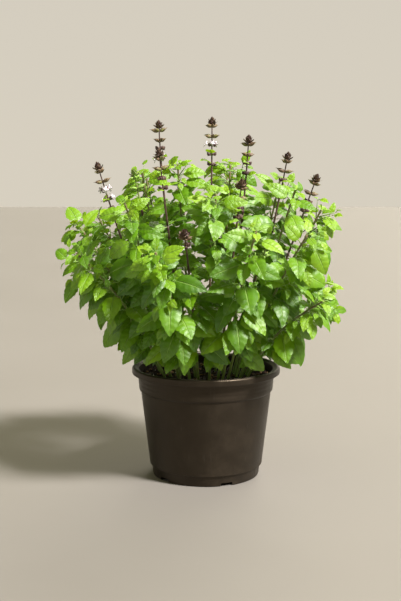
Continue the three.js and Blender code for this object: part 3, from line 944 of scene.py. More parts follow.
def parts_of(tree, vector):
    """The X, Y and Z of a vector."""
    node = add_node(tree, "ShaderNodeSeparateXYZ")
    tree.links.new(vector, node.inputs["Vector"])
    return node.outputs["X"], node.outputs["Y"], node.outputs["Z"]


def tint_of(tree):
    return add_node(tree, "ShaderNodeAttribute", attribute_name="tint").outputs["Fac"]


print("node helpers ready")

# %% [markdown]
# ### The leaf finish
#
# A basil leaf is glossy and bright green, and pale along its rib. Its sunken side veins and the fine
# net of veins in between, which makes it look quilted, are painted a little darker: painted shade in
# those grooves. Seen against the light it glows yellow-green, so the shader mixes a glossy coat of
# reflected light with a Translucent one that lets light through.

# %% Leaf finish
VEINS = LARGE_ROWS / 2
LEAF_GREENS = [
    (0.0, (0.045, 0.140, 0.001)),
    (0.35, (0.120, 0.290, 0.002)),
    (0.65, (0.220, 0.415, 0.005)),
    (1.0, (0.340, 0.530, 0.014)),
]
GLOW_GREENS = [
    (0.0, (0.150, 0.320, 0.001)),
    (0.5, (0.350, 0.570, 0.004)),
    (1.0, (0.500, 0.700, 0.012)),
]
GLOW_SHARE = 0.3
# Painted shade: the side veins and the net get a darker green, as shade in their sunken grooves
PAINTED_VEIN_SHADE = (0.045, 0.16, 0.006)
PAINTED_NET_SHADE = (0.05, 0.17, 0.01)
RIB_GREEN = (0.36, 0.56, 0.12)
GLOW_LINE_GREEN = (0.10, 0.26, 0.01)
NET_SCALE = (26, 17, 1)
LEAF_GLOSS = 0.75


def vein_lines(tree, map_places):
    """How much of the rib, of a side vein, of the bulge beside it and of the net lies at each place."""
    along, across, _ = parts_of(tree, map_places)
    off_rib = calculate(tree, "ABSOLUTE", calculate(tree, "SUBTRACT", across, 0.5))
    rib = smooth_step(tree, off_rib, 0.012, 0.05, 1, 0)
    wave = calculate(tree, "PINGPONG", scaled(tree, along, VEINS), 0.5)
    fading = smooth_step(tree, off_rib, 0.2, 0.5, 1, 0.35)
    vein = calculate(tree, "MULTIPLY", smooth_step(tree, wave, 0.44, 0.5), fading)
    bulge = smooth_step(tree, wave, 0.0, 0.5, 1, 0)
    cells = add_node(tree, "ShaderNodeTexVoronoi", feature="DISTANCE_TO_EDGE")
    tree.links.new(stretched(tree, map_places, NET_SCALE), cells.inputs["Vector"])
    cells.inputs["Scale"].default_value = 1
    net = smooth_step(tree, cells.outputs["Distance"], 0.0, 0.16, 1, 0)
    return rib, vein, bulge, net


def leaf_finish():
    finish, tree, shader = new_finish("basil leaf")
    map_places = add_node(tree, "ShaderNodeUVMap", uv_map="UVMap").outputs["UV"]
    rib, vein, bulge, net = vein_lines(tree, map_places)
    lines = calculate(tree, "MAXIMUM", rib, scaled(tree, vein, 0.55))
    places = object_places(tree)
    broad = noise(tree, places, 55, 2)
    fine = noise(tree, places, 900, 2)
    shade = calculate(tree, "SUBTRACT", scaled(tree, broad, 0.5, tint_of(tree)), 0.25, clamp=True)
    green = colour_steps(tree, shade, LEAF_GREENS)
    # Blends painted shade along the veins and the net, and the rib's own paler green
    for line, share, colour in ((vein, 0.26, PAINTED_VEIN_SHADE), (net, 0.14, PAINTED_NET_SHADE), (rib, 0.5, RIB_GREEN)):
        green = blend_colours(tree, scaled(tree, line, share), green, colour)
    tree.links.new(green, shader.inputs["Base Color"])
    rough = scaled(tree, fine, 0.12, 0.36)
    tree.links.new(scaled(tree, lines, 0.12, rough), shader.inputs["Roughness"])
    shader.inputs["Specular IOR Level"].default_value = LEAF_GLOSS
    dents = scaled(tree, bulge, 0.22)
    for part, rise in ((rib, -0.8), (net, -0.05), (fine, 0.04)):
        dents = scaled(tree, part, rise, dents)
    bumped = relief(tree, shader, dents, 0.85, 0.0011)
    glow_green = colour_steps(tree, shade, GLOW_GREENS)
    glow_green = blend_colours(tree, scaled(tree, lines, 0.5), glow_green, GLOW_LINE_GREEN)
    let_light_through(tree, shader, glow_green, bumped)
    return finish


def let_light_through(tree, shader, colour, bumped):
    """Mixes a share of light that comes through the blade with what its upper side reflects."""
    glow = add_node(tree, "ShaderNodeBsdfTranslucent")
    tree.links.new(colour, glow.inputs["Color"])
    tree.links.new(bumped, glow.inputs["Normal"])
    mixed = add_node(tree, "ShaderNodeMixShader")
    mixed.inputs["Fac"].default_value = GLOW_SHARE
    tree.links.new(shader.outputs["BSDF"], mixed.inputs[1])
    tree.links.new(glow.outputs["BSDF"], mixed.inputs[2])
    tree.links.new(mixed.outputs["Shader"], tree.nodes["Material Output"].inputs["Surface"])


leaf_green = leaf_finish()
print("leaf finish nodes:", len(leaf_green.node_tree.nodes))

# %% [markdown]
# ### The skin of stems, stalks and spikes
#
# Young stems and leaf stalks are fresh green. Where a stem gets old or leads to a flower spike it
# turns purple-brown, first in streaks. The tint of each vertex says how far that has gone, so one
# finish serves them all. A light sheen stands for the fine hairs.

# %% Stem and calyx finish
SKIN_COLOURS = [
    (0.0, (0.250, 0.430, 0.060)),
    (0.35, (0.170, 0.270, 0.050)),
    (0.6, (0.160, 0.105, 0.052)),
    (1.0, (0.050, 0.021, 0.022)),
]


def skin_finish():
    finish, tree, shader = new_finish("stem skin")
    places = object_places(tree)
    streak = noise(tree, stretched(tree, places, (1, 1, 0.12)), 900, 3)
    fleck = noise(tree, places, 420, 3)
    age = calculate(tree, "SUBTRACT", scaled(tree, streak, 0.45, tint_of(tree)), 0.42)
    age = calculate(tree, "ADD", age, scaled(tree, fleck, 0.4), clamp=True)
    tree.links.new(colour_steps(tree, age, SKIN_COLOURS), shader.inputs["Base Color"])
    tree.links.new(scaled(tree, fleck, 0.3, 0.36), shader.inputs["Roughness"])
    shader.inputs["Sheen Weight"].default_value = 0.12
    shader.inputs["Sheen Roughness"].default_value = 0.4
    relief(tree, shader, calculate(tree, "ADD", streak, fleck), 0.5, 0.0003)
    return finish


stem_skin = skin_finish()
print("stem finish nodes:", len(stem_skin.node_tree.nodes))

# %% [markdown]
# ## The stems
#
# A basil stem is square with rounded corners, tapers upwards and is a little thicker where leaves
# join. Sweeping a rounded square along a path gives exactly that: the path's own radius at each
# point makes the taper and the swellings. The swept curve becomes a mesh, and its skin's tint is
# worked out from how far up the stem each vertex lies.

# %% Swept tubes
STEM_RING_STEP = 9
NODE_SWELL = 1.35
NODE_HALF_LENGTH = 2.6
SECTION_RADIUS = 1.18 * MM
SECTION_SQUARING = 1.28


def square_section():
    """A rounded square of half width 1 mm to sweep stems with."""
    bpy.ops.object.select_all(action="DESELECT")
    bpy.ops.curve.primitive_bezier_circle_add(radius=SECTION_RADIUS)
    section = bpy.context.object
    spline = section.data.splines[0]
    spline.resolution_u = 2
    for point in spline.bezier_points:
        reach = (point.handle_right - point.co) * SECTION_SQUARING
        point.handle_right = point.co + reach
        point.handle_left = point.co - reach
    return section


def sweep(name, points, radii, section):
    """Sweeps the section along points in millimetres; a radius is its half width in millimetres."""
    bpy.ops.object.select_all(action="DESELECT")
    bpy.ops.curve.primitive_nurbs_path_add()
    path = bpy.context.object
    path.name = name
    path.data.splines.clear()
    spline = path.data.splines.new("POLY")
    spline.points.add(len(points) - 1)
    for slot, place, radius in zip(spline.points, points, radii):
        slot.co = (*(place * MM), 1)
        slot.radius = radius
    path.data.bevel_mode = "OBJECT"
    path.data.bevel_object = section
    path.data.use_fill_caps = True
    path.data.dimensions = "3D"
    bpy.ops.object.convert(target="MESH")
    tube = bpy.context.object
    open_object(tube)
    weld_and_face_out(1e-6)
    close_object()
    return tube


def radius_at(stem, length, joints):
    """Half the width of a stem, which tapers upwards and swells at its joints."""
    base = STEM_RADIUS_LOW + (STEM_RADIUS_HIGH - STEM_RADIUS_LOW) * min(max(length / stem.full, 0), 1)
    nearest = min((abs(length - joint) for joint in joints), default=99)
    return base * (1 + (NODE_SWELL - 1) * max(0, 1 - nearest / NODE_HALF_LENGTH))


def joints_of(stem):
    """The lengths along a stem where its pairs of leaves sit."""
    return [stem.top - below for below, _ in LEVELS if stem.top - below > BARE_FOOT]


def stem_tube(stem, section):
    """The stem from the foot of its hole in the soil to its top, with rings at each joint."""
    joints = joints_of(stem)
    marks = set(np.arange(0, stem.top, STEM_RING_STEP))
    for joint in joints:
        marks.update((joint - NODE_HALF_LENGTH, joint, joint + NODE_HALF_LENGTH))
    marks = sorted(mark for mark in marks if 0 <= mark < stem.top - 0.5) + [stem.top]
    points = [stem.root - stem.lean * (HOLE_DEPTH - GAP)] + [place_on(stem, mark)[0] for mark in marks]
    radii = [STEM_RADIUS_LOW] + [radius_at(stem, mark, joints) for mark in marks]
    return sweep("stem tube", points, radii, section)


def age_along(stem, places, ripe_low, ripe_high):
    """How ripe the skin is at each place in metres, from the soil to the stem's top."""
    gaps = np.linalg.norm(places[:, None] / MM - stem.points[None], axis=2)
    along = stem.lengths[gaps.argmin(axis=1)] / stem.top
    return np.clip(ripe_low + (ripe_high - ripe_low) * along**1.3, 0, 1)


# %% One piece for each leafy stem
SHOOT_RADIUS = 0.65
SHOOT_TINT = 0.15
SMALL_STALK_THICKNESS = 0.7
FOOT_RIPE = 0.36
LEAFY_RIPE = 0.55
FLOWERING_RIPE = 0.95
leaf_looks = draws(60013)


def shoot_copy(root, end):
    """The stalk master again, stretched straight from a stem to the end of a side shoot."""
    shape = places_of(stalk.data)
    share = (shape[:, :1] + 1) / (1 + RIB_REACH)
    across = unit(np.cross(end - root, UP))
    over = unit(np.cross(across, end - root))
    places = root + (end - root) * share + (across * shape[:, 1:2] - over * shape[:, 2:3]) * SHOOT_RADIUS
    return copy_with(stalk, places * MM, SHOOT_TINT, stem_skin)


def leaf_tint_with_painted_shade(leaf):
    """Young and high leaves are bright, old and low ones dark; painted shade darkens inner ones."""
    height = (leaf.middle[2] - CROWN_LOWEST) / (CROWN_Z + CROWN_ABOVE - CROWN_LOWEST)
    flat = math.hypot(leaf.middle[0], leaf.middle[1]) / CROWN_RADIUS
    # Painted shade: the nearer a leaf lies to the crown's middle, the darker its tint
    painted_inner_shade = max(0, 0.9 - math.hypot(flat, (leaf.middle[2] - CROWN_Z) / CROWN_ABOVE))
    tint = 0.26 + 0.2 * height + 0.34 * leaf.young - 0.5 * painted_inner_shade + leaf_looks(-0.24, 0.24)
    return min(max(tint, 0), 1)


def dress_stem(number, stem, section):
    """A stem's tube, the blade and stalk of each of its leaves, and its side shoots, in one piece."""
    tube = stem_tube(stem, section)
    ripe = FLOWERING_RIPE if stem.top < stem.full else LEAFY_RIPE
    note_tint(tube.data, age_along(stem, places_of(tube.data), FOOT_RIPE, ripe), stem_skin)
    copies = [tube]
    for leaf in stem.leaves:
        # Each leaf's tint holds its own tone and painted shade for the inner leaves
        tint = leaf_tint_with_painted_shade(leaf)
        large = leaf.length > SMALL_LEAF
        copies.append(blade_copy(large_blade if large else small_blade, leaf, tint, leaf_green))
        thick = STALK_RADIUS * (1 if large else SMALL_STALK_THICKNESS)
        copies.append(stalk_copy(leaf, thick, 0.05 + leaf_looks(0, 0.15), stem_skin))
    for root, end in stem.shoots:
        copies.append(shoot_copy(root, end))
    piece = join_as(f"leafy_stem_{number:02d}", copies)
    smooth_all(piece)
    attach(piece, "root")
    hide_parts(f"stem_{number:02d}")
    return piece


section = square_section()
stem_pieces = [dress_stem(i + 1, stem, section) for i, stem in enumerate(stems)]
faces = [len(piece.data.polygons) for piece in stem_pieces]
print("stem pieces:", len(stem_pieces), "faces in all:", sum(faces), "most in one:", max(faces))

# %% [markdown]
# ## The flower spikes
#
# A spike is a dark square stalk that bears whorls, rings of six flowers with two pointed bracts under
# them, every centimetre or so. A spent flower leaves its calyx, a round pod with a small hood. The
# topmost whorls are still closed, bear pointed buds, and crowd into a pointed head. The calyx, the
# bud, the flower and its thread are each modelled once, and a bract is the small blade again. The
# whorls lie where those of the solids lie.

# %% Masters for calyx, bud and flower
PETALS = 5
PETAL_LENGTH_SHARE = 0.36
# For each ring of the flower's tube and lobes: how far it rises, and how much wider it is
FLOWER_RINGS = [(0.3, 1.1), (0.2, 1.3), (0.14, 2.6), (0.05, 1.9)]
# For each height up a bud: how much narrower all above it becomes
BUD_TAPER = [(0.45, 0.95), (0.7, 0.66), (0.9, 0.5)]


def model_calyx():
    """A pod along +Z from 0 to 1, narrow at its foot, round in the middle and open at its mouth."""
    bpy.ops.object.select_all(action="DESELECT")
    bpy.ops.mesh.primitive_uv_sphere_add(segments=7, ring_count=6, radius=0.5, location=(0, 0, 0.5))
    calyx = bpy.context.object
    bpy.ops.object.transform_apply(location=True)
    open_object(calyx)
    choose(calyx, lambda place: place.z < 0.3)
    bpy.ops.transform.resize(value=(0.72, 0.72, 1), center_override=(0, 0, 0.3))
    choose(calyx, lambda place: place.z > 0.85)
    bpy.ops.transform.resize(value=(1.3, 1.3, 1), center_override=(0, 0, 0.9))
    choose(calyx, lambda place: place.z > 0.98)
    bpy.ops.transform.translate(value=(0, 0, -0.28))
    choose(calyx, lambda place: place.z > 0.7 and place.y > 0.1)
    bpy.ops.transform.translate(value=(0, 0.1, 0.16))
    weld_and_face_out(ALIKE)
    close_object()
    return set_aside(calyx, "calyx")


def model_bud():
    """A closed bud along +Z from 0 to 1, with its bract round it: full below and drawn out to a point."""
    bpy.ops.object.select_all(action="DESELECT")
    bpy.ops.mesh.primitive_uv_sphere_add(segments=6, ring_count=6, radius=0.5, location=(0, 0, 0.5))
    bud = bpy.context.object
    bpy.ops.object.transform_apply(location=True)
    open_object(bud)
    for height, narrower in BUD_TAPER:
        choose(bud, lambda place: place.z > height)
        bpy.ops.transform.resize(value=(narrower, narrower, 1), center_override=(0, 0, height))
    choose(bud, lambda place: place.z > 0.99)
    bpy.ops.transform.translate(value=(0, -0.06, 0.16))
    weld_and_face_out(ALIKE)
    close_object()
    return set_aside(bud, "bud")


def model_flower():
    """A white two-lipped flower along +Z: a short tube, four small upper lobes and a longer lower one."""
    bpy.ops.object.select_all(action="DESELECT")
    bpy.ops.mesh.primitive_circle_add(vertices=3 * PETALS, radius=0.1, fill_type="NGON")
    flower = bpy.context.object
    open_object(flower)
    bpy.ops.mesh.select_all(action="SELECT")
    for rise, spread in FLOWER_RINGS:
        bpy.ops.mesh.extrude_region_move(TRANSFORM_OT_translate={"value": (0, 0, rise)})
        bpy.ops.transform.resize(value=(spread, spread, 1), center_override=(0, 0, 0))
    top = sum(rise for rise, _ in FLOWER_RINGS)
    petal = 2 * math.pi / PETALS

    def in_notch(place):
        turn = (math.atan2(place.y, place.x) - math.pi / 2) % petal
        return place.z > top - 0.01 and min(turn, petal - turn) < 0.1

    choose(flower, in_notch)
    share = PETAL_LENGTH_SHARE
    bpy.ops.transform.resize(value=(share, share, 1), center_override=(0, 0, top))
    choose(flower, lambda place: place.z > top - 0.01 and place.y < -0.55)
    bpy.ops.transform.translate(value=(0, -0.22, 0.06))
    weld_and_face_out(ALIKE, outwards=False)
    close_object()
    return set_aside(flower, "white flower")


def model_stamen():
    """A thread along +Z from 0 to 1 with a small bead on its end."""
    bpy.ops.object.select_all(action="DESELECT")
    bpy.ops.mesh.primitive_cylinder_add(vertices=3, radius=0.035, depth=1, location=(0, 0, 0.5))
    thread = bpy.context.object
    bpy.ops.mesh.primitive_ico_sphere_add(subdivisions=1, radius=0.1, location=(0, 0, 1))
    thread.select_set(True)
    bpy.context.view_layer.objects.active = thread
    bpy.ops.object.join()
    bpy.ops.object.transform_apply(location=True)
    return set_aside(thread, "stamen")


masters = model_calyx(), model_bud(), model_flower(), model_stamen()
calyx, bud, flower, stamen = masters
print("faces of calyx, bud, flower, stamen:", [len(master.data.polygons) for master in masters])


# %% Petal finish
def petal_finish():
    finish, tree, shader = new_finish("white petal")
    places = object_places(tree)
    blush = noise(tree, places, 700, 2)
    colour = colour_steps(tree, blush, [(0.35, (0.86, 0.84, 0.86)), (0.75, (0.70, 0.58, 0.72))])
    tree.links.new(colour, shader.inputs["Base Color"])
    tree.links.new(scaled(tree, blush, 0.2, 0.4), shader.inputs["Roughness"])
    relief(tree, shader, noise(tree, places, 2600, 2), 0.4, 0.0002)
    return finish


petal_white = petal_finish()
print("petal finish nodes:", len(petal_white.node_tree.nodes))


# %% Set a master down along an axis
def set_down(master, foot, axis, over, length, width, tint, finish):
    """Stands a master that runs along +Z on a foot, along an axis, with its +Y turned to over."""
    axis = unit(axis)
    over = unit(over - axis * over.dot(axis))
    beside = np.cross(over, axis)
    shape = places_of(master.data)
    places = foot + (beside * shape[:, :1] + over * shape[:, 1:2]) * width + axis * shape[:, 2:] * length
    return copy_with(master, places * MM, tint, finish)


def bract(foot, axis, over, length, half_width, bend, fold, tint):
    """A small pointed scale, the small blade master bent by a leaf's rule."""
    axis = unit(axis)
    normal = unit(over - axis * over.dot(axis))
    scale = SimpleNamespace(
        foot=foot, axis=axis, normal=normal, side=np.cross(normal, axis), length=length,
        half_width=half_width, bend=bend, fold=fold,
    )
    return blade_copy(small_blade, scale, tint, stem_skin)


# %% Whorls and heads
CALYX_LENGTH = 5.2
CALYX_WIDTH = 4.3
FLOWER_LENGTH = 6.6
FLOWER_WIDTH_SHARE = 0.86
STAMEN_LENGTH = 5.6
STAMEN_WIDTH = 4.2
STAMEN_LEANS = (-0.35, 0.0, 0.35)
# For each bud of a closed cluster: its turn from the cluster's middle, and its length
BUDS = [(0.0, 9.2), (-0.72, 7.8), (0.72, 7.8)]
BUD_RISE = (0.22, 0.46)
BUD_WIDTH = 0.5
BRACT = 5.4
BRACT_WIDTH = 0.42
CLUSTER = 3
CLUSTER_FAN = 0.62
# For each tier of the head: how far below the tip it is, its scales, their length and their lean
HEAD_TIERS = [
    (9.6, 6, 8.0, 0.95),
    (7.9, 6, 6.8, 0.68),
    (6.3, 5, 5.6, 0.46),
    (4.8, 4, 4.6, 0.28),
    (3.4, 3, 3.6, 0.12),
]
HEAD_TWIST = 0.5
SCALE_WIDTH = 0.36
CALYX_TIERS = 3
CALYX_SHARE = 0.56


def spike_frame(stem, below):
    """A point on a spike, its direction, and two directions across it."""
    point, direction = place_on(stem, stem.full - below)
    across = unit(np.cross(direction, (0, 1, 0)))
    return point, direction, across, unit(np.cross(direction, across))


def around(here, turn):
    """The way that points out from a spike at a turn round it."""
    _, _, across, over = here
    return across * math.cos(turn) + over * math.sin(turn)


def bud_cluster(here, middle, ripe, draw):
    """Pointed buds side by side, the middle one the longest, that lean out from the stalk."""
    point, direction, _, _ = here
    copies = []
    for lean, reach in BUDS:
        way = around(here, middle + lean)
        axis = unit(way + direction * draw(*BUD_RISE))
        length = reach * draw(0.92, 1.08)
        foot = point + way * 0.4 - direction * 0.6
        tint = ripe - draw(0.16, 0.4)
        copies.append(set_down(bud, foot, axis, direction, length, BUD_WIDTH * length, tint, stem_skin))
    return copies


def open_cluster(here, middle, ripe, in_flower, draw):
    """Open calyces side by side over their bract, with a flower in each that in_flower names."""
    point, direction, _, _ = here
    way = around(here, middle)
    axis = unit(way + direction * 0.3)
    foot = point + way * 0.6
    copies = [bract(foot, axis, direction, BRACT, BRACT_WIDTH * BRACT, 0.9, 0.8, ripe - 0.2)]
    for i in range(CLUSTER):
        way = around(here, middle + (i - 1) * CLUSTER_FAN * draw(0.85, 1.3))
        axis = unit(way + direction * draw(0.2, 0.45))
        size = draw(0.8, 1.0)
        foot = point + way * 0.7 + direction * 0.8
        length, width = CALYX_LENGTH * size, CALYX_WIDTH * size
        tint = ripe + draw(-0.1, 0.1)
        copies.append(set_down(calyx, foot, axis, direction, length, width, tint, stem_skin))
        if i in in_flower:
            copies += open_flower(foot + axis * length * 0.6, axis, direction, draw)
    return copies


def whorl(stem, below, turn, closed, flowering, ripe, draw):
    """Two facing clusters of buds or of calyces, with three flowers in a whorl that is in flower."""
    here = spike_frame(stem, below)
    copies = []
    for side in (0, 1):
        middle = turn + side * math.pi
        in_flower = range(side, CLUSTER, 2) if flowering else ()
        if closed:
            copies += bud_cluster(here, middle, ripe, draw)
        else:
            copies += open_cluster(here, middle, ripe, in_flower, draw)
    return copies


def open_flower(foot, axis, over, draw):
    """A white flower with three threads that hang out of it."""
    size = draw(0.85, 1.1)
    axis = unit(axis + over * draw(-0.1, 0.3))
    length, width = FLOWER_LENGTH * size, FLOWER_LENGTH * FLOWER_WIDTH_SHARE * size
    parts = [set_down(flower, foot, axis, over, length, width, 0, petal_white)]
    for lean in STAMEN_LEANS:
        way = unit(axis - over * 0.35 + np.cross(axis, over) * lean)
        parts.append(set_down(stamen, foot, way, over, STAMEN_LENGTH * size, STAMEN_WIDTH, 0, petal_white))
    return parts


def head(stem, turn, ripe, draw):
    """The closed top of a spike: tiers of pointed scales, with a small calyx behind each lower one."""
    copies = []
    for tier, (below, count, length, lean) in enumerate(HEAD_TIERS):
        here = spike_frame(stem, below)
        point, direction, _, _ = here
        for i in range(count):
            way = around(here, turn + tier * HEAD_TWIST + i * 2 * math.pi / count)
            axis = unit(way * lean + direction * (1 - 0.62 * lean))
            tint = ripe + draw(-0.22, 0.08)
            over = way + direction * 0.2
            foot = point + way * 0.5
            copies.append(bract(foot, axis, over, length, SCALE_WIDTH * length, 0.5, 0.35, tint))
            if tier < CALYX_TIERS:
                axis = unit(way * lean * 0.9 + direction)
                foot = point + way * 0.3
                size = CALYX_SHARE * length
                copies.append(set_down(calyx, foot, axis, way, size, size * 0.8, tint, stem_skin))
    return copies


scales = [count for _, count, _, _ in HEAD_TIERS]
print("scales of a head:", sum(scales), "calyces under them:", sum(scales[:CALYX_TIERS]))

# %% One piece for each spike
SPIKE_RADIUS = 1.05
SPIKE_TIP_RADIUS = 0.5
SPIKE_RINGS = 12
CLOSED_WHORLS = 2
LEAFLET = 15
LEAFLET_STALK = 0.4
GREEN_SPIKES = (2, 11)
GREEN_RIPE = 0.42
DARK_RIPE = 0.92
# For each spike in flower, by its number: which of its whorls, counted from the lowest, bear flowers
IN_FLOWER = {1: (1, 2), 3: (1,), 5: (2,), 10: (0,), 12: (0,)}


def leaflets(stem, below, draw):
    """A pair of small green leaves under a whorl low on the spike."""
    copies = []
    point, direction = place_on(stem, stem.full - below)
    for side in (0, 1):
        turn = stem.turn + side * math.pi + draw(-0.6, 0.6)
        leaf = leaf_from(point, direction, turn, 0.8, 0.3, LEAFLET * draw(0.8, 1.3), draw)
        copies.append(blade_copy(small_blade, leaf, draw(0.55, 0.85), leaf_green))
        copies.append(stalk_copy(leaf, LEAFLET_STALK, 0.1, stem_skin))
    return copies


def dress_spike(number, stem, length, section, draw, looks):
    """A spike's stalk, its whorls from the lowest up, and its head, in one piece."""
    ripe = GREEN_RIPE if number in GREEN_SPIKES else DARK_RIPE
    marks = np.linspace(stem.top + GAP, stem.full - 2, SPIKE_RINGS)
    points = [place_on(stem, mark)[0] for mark in marks]
    radii = np.linspace(SPIKE_RADIUS, SPIKE_TIP_RADIUS, SPIKE_RINGS)
    tube = sweep("spike stalk", points, radii, section)
    note_tint(tube.data, ripe, stem_skin)
    copies = [tube]
    turn = draw(0, math.pi)
    count = math.floor((length * (1 - BARE_SHARE) - HEAD_LENGTH) / WHORL_GAP)
    for i in range(count, -1, -1):
        below = HEAD_LENGTH + FIRST_WHORL + i * WHORL_GAP + draw(*WHORL_SHIFTS)
        # The solids draw each whorl's reach here, so this draw keeps the later ones in step with theirs
        draw(5, 6)
        turn += math.pi / 2
        flowering = count - i in IN_FLOWER.get(number, ())
        closed = i < CLOSED_WHORLS and not flowering
        copies += whorl(stem, below, turn, closed, flowering, ripe, looks)
        if i >= max(count - 1, 2):
            copies += leaflets(stem, below + 1, looks)
    copies += head(stem, turn, ripe, looks)
    piece = join_as(f"flower_spike_{number:02d}", copies)
    smooth_all(piece)
    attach(piece, "root")
    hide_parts(f"spike_{number:02d}")
    return piece


spike_draw, spike_looks = draws(911), draws(2027)
spike_pieces = []
for i, (_, length) in enumerate(SPIKES):
    spike_pieces.append(dress_spike(i + 1, stems[i], length, section, spike_draw, spike_looks))
bpy.data.objects.remove(section)
faces = [len(piece.data.polygons) for piece in spike_pieces]
print("spike pieces:", len(spike_pieces), "faces in all:", sum(faces))

# %% [markdown]
# ## The pot
#
# A nursery pot is one thin wall of moulded black plastic. Its half outline is drawn by extruding a
# single vertex from point to point, then spun round the axis. The outline holds the foot band, the
# step under the rim band, fine ridges in that band and the lip that turns down. Five drain notches
# are cut from the foot with blocks whose edges are bevelled first, so that each notch has round
# corners. Scaled cylinders and more booleans could make the whole pot, but every step and ridge
# would then be a cut of its own, where a spun outline is one line of points.

# %% Pot sizes in metres and its outline
POT_STEPS = 96
FOOT_RADIUS = 61.5 * MM
FOOT_BAND_HEIGHT = 12 * MM
RIM_BAND_Z = 99 * MM
WALL = 1.7 * MM
FLOOR_THICKNESS = 3.2 * MM
PAD_RADIUS = 16 * MM
LIP_DROP = 7.4 * MM
LIP_RADIUS = 2.6 * MM
LIP_STEPS = 6
RIDGES = 3
RIDGE_DEPTH = 0.35 * MM
NOTCH_COUNT = 5
NOTCH_SIZE = (17 * MM, 14 * MM, 8 * MM)
NOTCH_ROUNDING = 0.9 * MM
NOTCH_FIRST_ANGLE = math.radians(-50)


def pot_outline():
    """Radius and height of each corner of the wall, from the underside's middle round to the inside."""
    rim, top = RIM_RADIUS * MM, POT_HEIGHT * MM
    foot_top = FOOT_RADIUS + 1 * MM
    body_low = foot_top + 2.4 * MM
    band_low = body_low + 10 * MM
    lip_inner = rim - WALL
    band_high = lip_inner - 4.4 * MM
    outline_points = [
        (0, 0), (PAD_RADIUS, 0), (PAD_RADIUS + 1.5 * MM, 1.5 * MM), (FOOT_RADIUS - 13 * MM, 1.5 * MM),
        (FOOT_RADIUS - 11.5 * MM, 0), (FOOT_RADIUS - 1.6 * MM, 0), (FOOT_RADIUS - 0.4 * MM, 0.5 * MM),
        (FOOT_RADIUS, 1.8 * MM), (foot_top, FOOT_BAND_HEIGHT - 0.6 * MM),
        (foot_top + 0.7 * MM, FOOT_BAND_HEIGHT + 0.4 * MM), (body_low, FOOT_BAND_HEIGHT + 1 * MM),
        (band_low, RIM_BAND_Z - 1.2 * MM), (band_low + 0.8 * MM, RIM_BAND_Z - 0.4 * MM),
        (band_low + 1.7 * MM, RIM_BAND_Z + 0.6 * MM), (band_low + 2 * MM, RIM_BAND_Z + 1.6 * MM),
    ]
    band_foot, band_end = RIM_BAND_Z + 4 * MM, top - LIP_DROP - 1 * MM
    for i in range(RIDGES * 4 + 1):
        share = i / (RIDGES * 4)
        z = band_foot + (band_end - band_foot) * share
        slope = (z - RIM_BAND_Z) / (top - 4.5 * MM - RIM_BAND_Z)
        radius = band_low + 2 * MM + (band_high - band_low - 2 * MM) * slope
        outline_points.append((radius - RIDGE_DEPTH * math.sin(math.pi * RIDGES * share) ** 2, z))
    outline_points += [
        (band_high, top - 4.5 * MM), (lip_inner, top - 4.8 * MM), (lip_inner, top - LIP_DROP),
        (rim - 0.4 * MM, top - LIP_DROP), (rim, top - LIP_DROP + 0.5 * MM),
    ]
    for i in range(LIP_STEPS + 1):
        turn = i / LIP_STEPS * math.pi / 2
        inwards, down = LIP_RADIUS * (1 - math.cos(turn)), LIP_RADIUS * (1 - math.sin(turn))
        outline_points.append((rim - inwards, top - down))
    outline_points += [
        (rim - 4.2 * MM, top - 0.3 * MM), (band_high - WALL, top - 2.4 * MM),
        (band_high - WALL - 0.3 * MM, top - 4 * MM), (band_low + 2 * MM - WALL, RIM_BAND_Z + 1 * MM),
        (band_low - WALL, RIM_BAND_Z - 1 * MM), (body_low - WALL - 0.4 * MM, FOOT_BAND_HEIGHT),
        (FOOT_RADIUS - 1.6 * MM, FLOOR_THICKNESS), (0, FLOOR_THICKNESS),
    ]
    return outline_points


def spin_outline(name, outline_points, steps):
    """Extrudes one vertex along the outline and spins the line round +Z into a closed skin."""
    bpy.ops.object.select_all(action="DESELECT")
    bpy.ops.mesh.primitive_plane_add(size=1 * MM)
    turned = bpy.context.object
    turned.name = name
    open_object(turned)
    bpy.ops.mesh.select_all(action="SELECT")
    bpy.ops.mesh.merge(type="CENTER")
    radius, height = outline_points[0]
    bpy.ops.transform.translate(value=(radius, 0, height))
    for (r0, z0), (r1, z1) in zip(outline_points, outline_points[1:]):
        bpy.ops.mesh.extrude_region_move(TRANSFORM_OT_translate={"value": (r1 - r0, 0, z1 - z0)})
    bpy.ops.mesh.select_all(action="SELECT")
    bpy.ops.mesh.spin(steps=steps, angle=2 * math.pi, center=(0, 0, 0), axis=(0, 0, 1))
    weld_and_face_out(2e-5)
    close_object()
    return turned


def cut_notches(pot):
    """Cuts the drain notches from the foot, one rounded block after another."""
    for i in range(NOTCH_COUNT):
        angle = NOTCH_FIRST_ANGLE + i * 2 * math.pi / NOTCH_COUNT - math.pi / 2
        reach = FOOT_RADIUS + 5 * MM - NOTCH_SIZE[0] / 2
        place = (math.cos(angle) * reach, math.sin(angle) * reach, 0)
        bpy.ops.object.select_all(action="DESELECT")
        bpy.ops.mesh.primitive_cube_add(size=1, location=place, rotation=(0, 0, angle))
        block = bpy.context.object
        block.scale = NOTCH_SIZE
        bpy.ops.object.transform_apply(location=False, rotation=False, scale=True)
        open_object(block)
        bpy.ops.mesh.select_all(action="SELECT")
        bpy.ops.mesh.bevel(offset=NOTCH_ROUNDING, segments=2)
        close_object()
        cut = pot.modifiers.new("notch", "BOOLEAN")
        cut.operation = "DIFFERENCE"
        cut.object = block
        bpy.context.view_layer.objects.active = pot
        pot.select_set(True)
        bpy.ops.object.modifier_apply(modifier=cut.name)
        bpy.data.objects.remove(block)


# %% Pot plastic and the pot itself
PLASTIC_BROWNS = [(0.3, (0.007, 0.0055, 0.004)), (0.75, (0.011, 0.009, 0.0065))]
DUST_BROWN = (0.034, 0.026, 0.018)
SCUFF_GREY = (0.05, 0.044, 0.038)
PLASTIC_GLOSS = 0.42
PLASTIC_GLOSS_TINT = (1.0, 0.8, 0.58, 1)
SMOOTH_BELOW = math.radians(32)


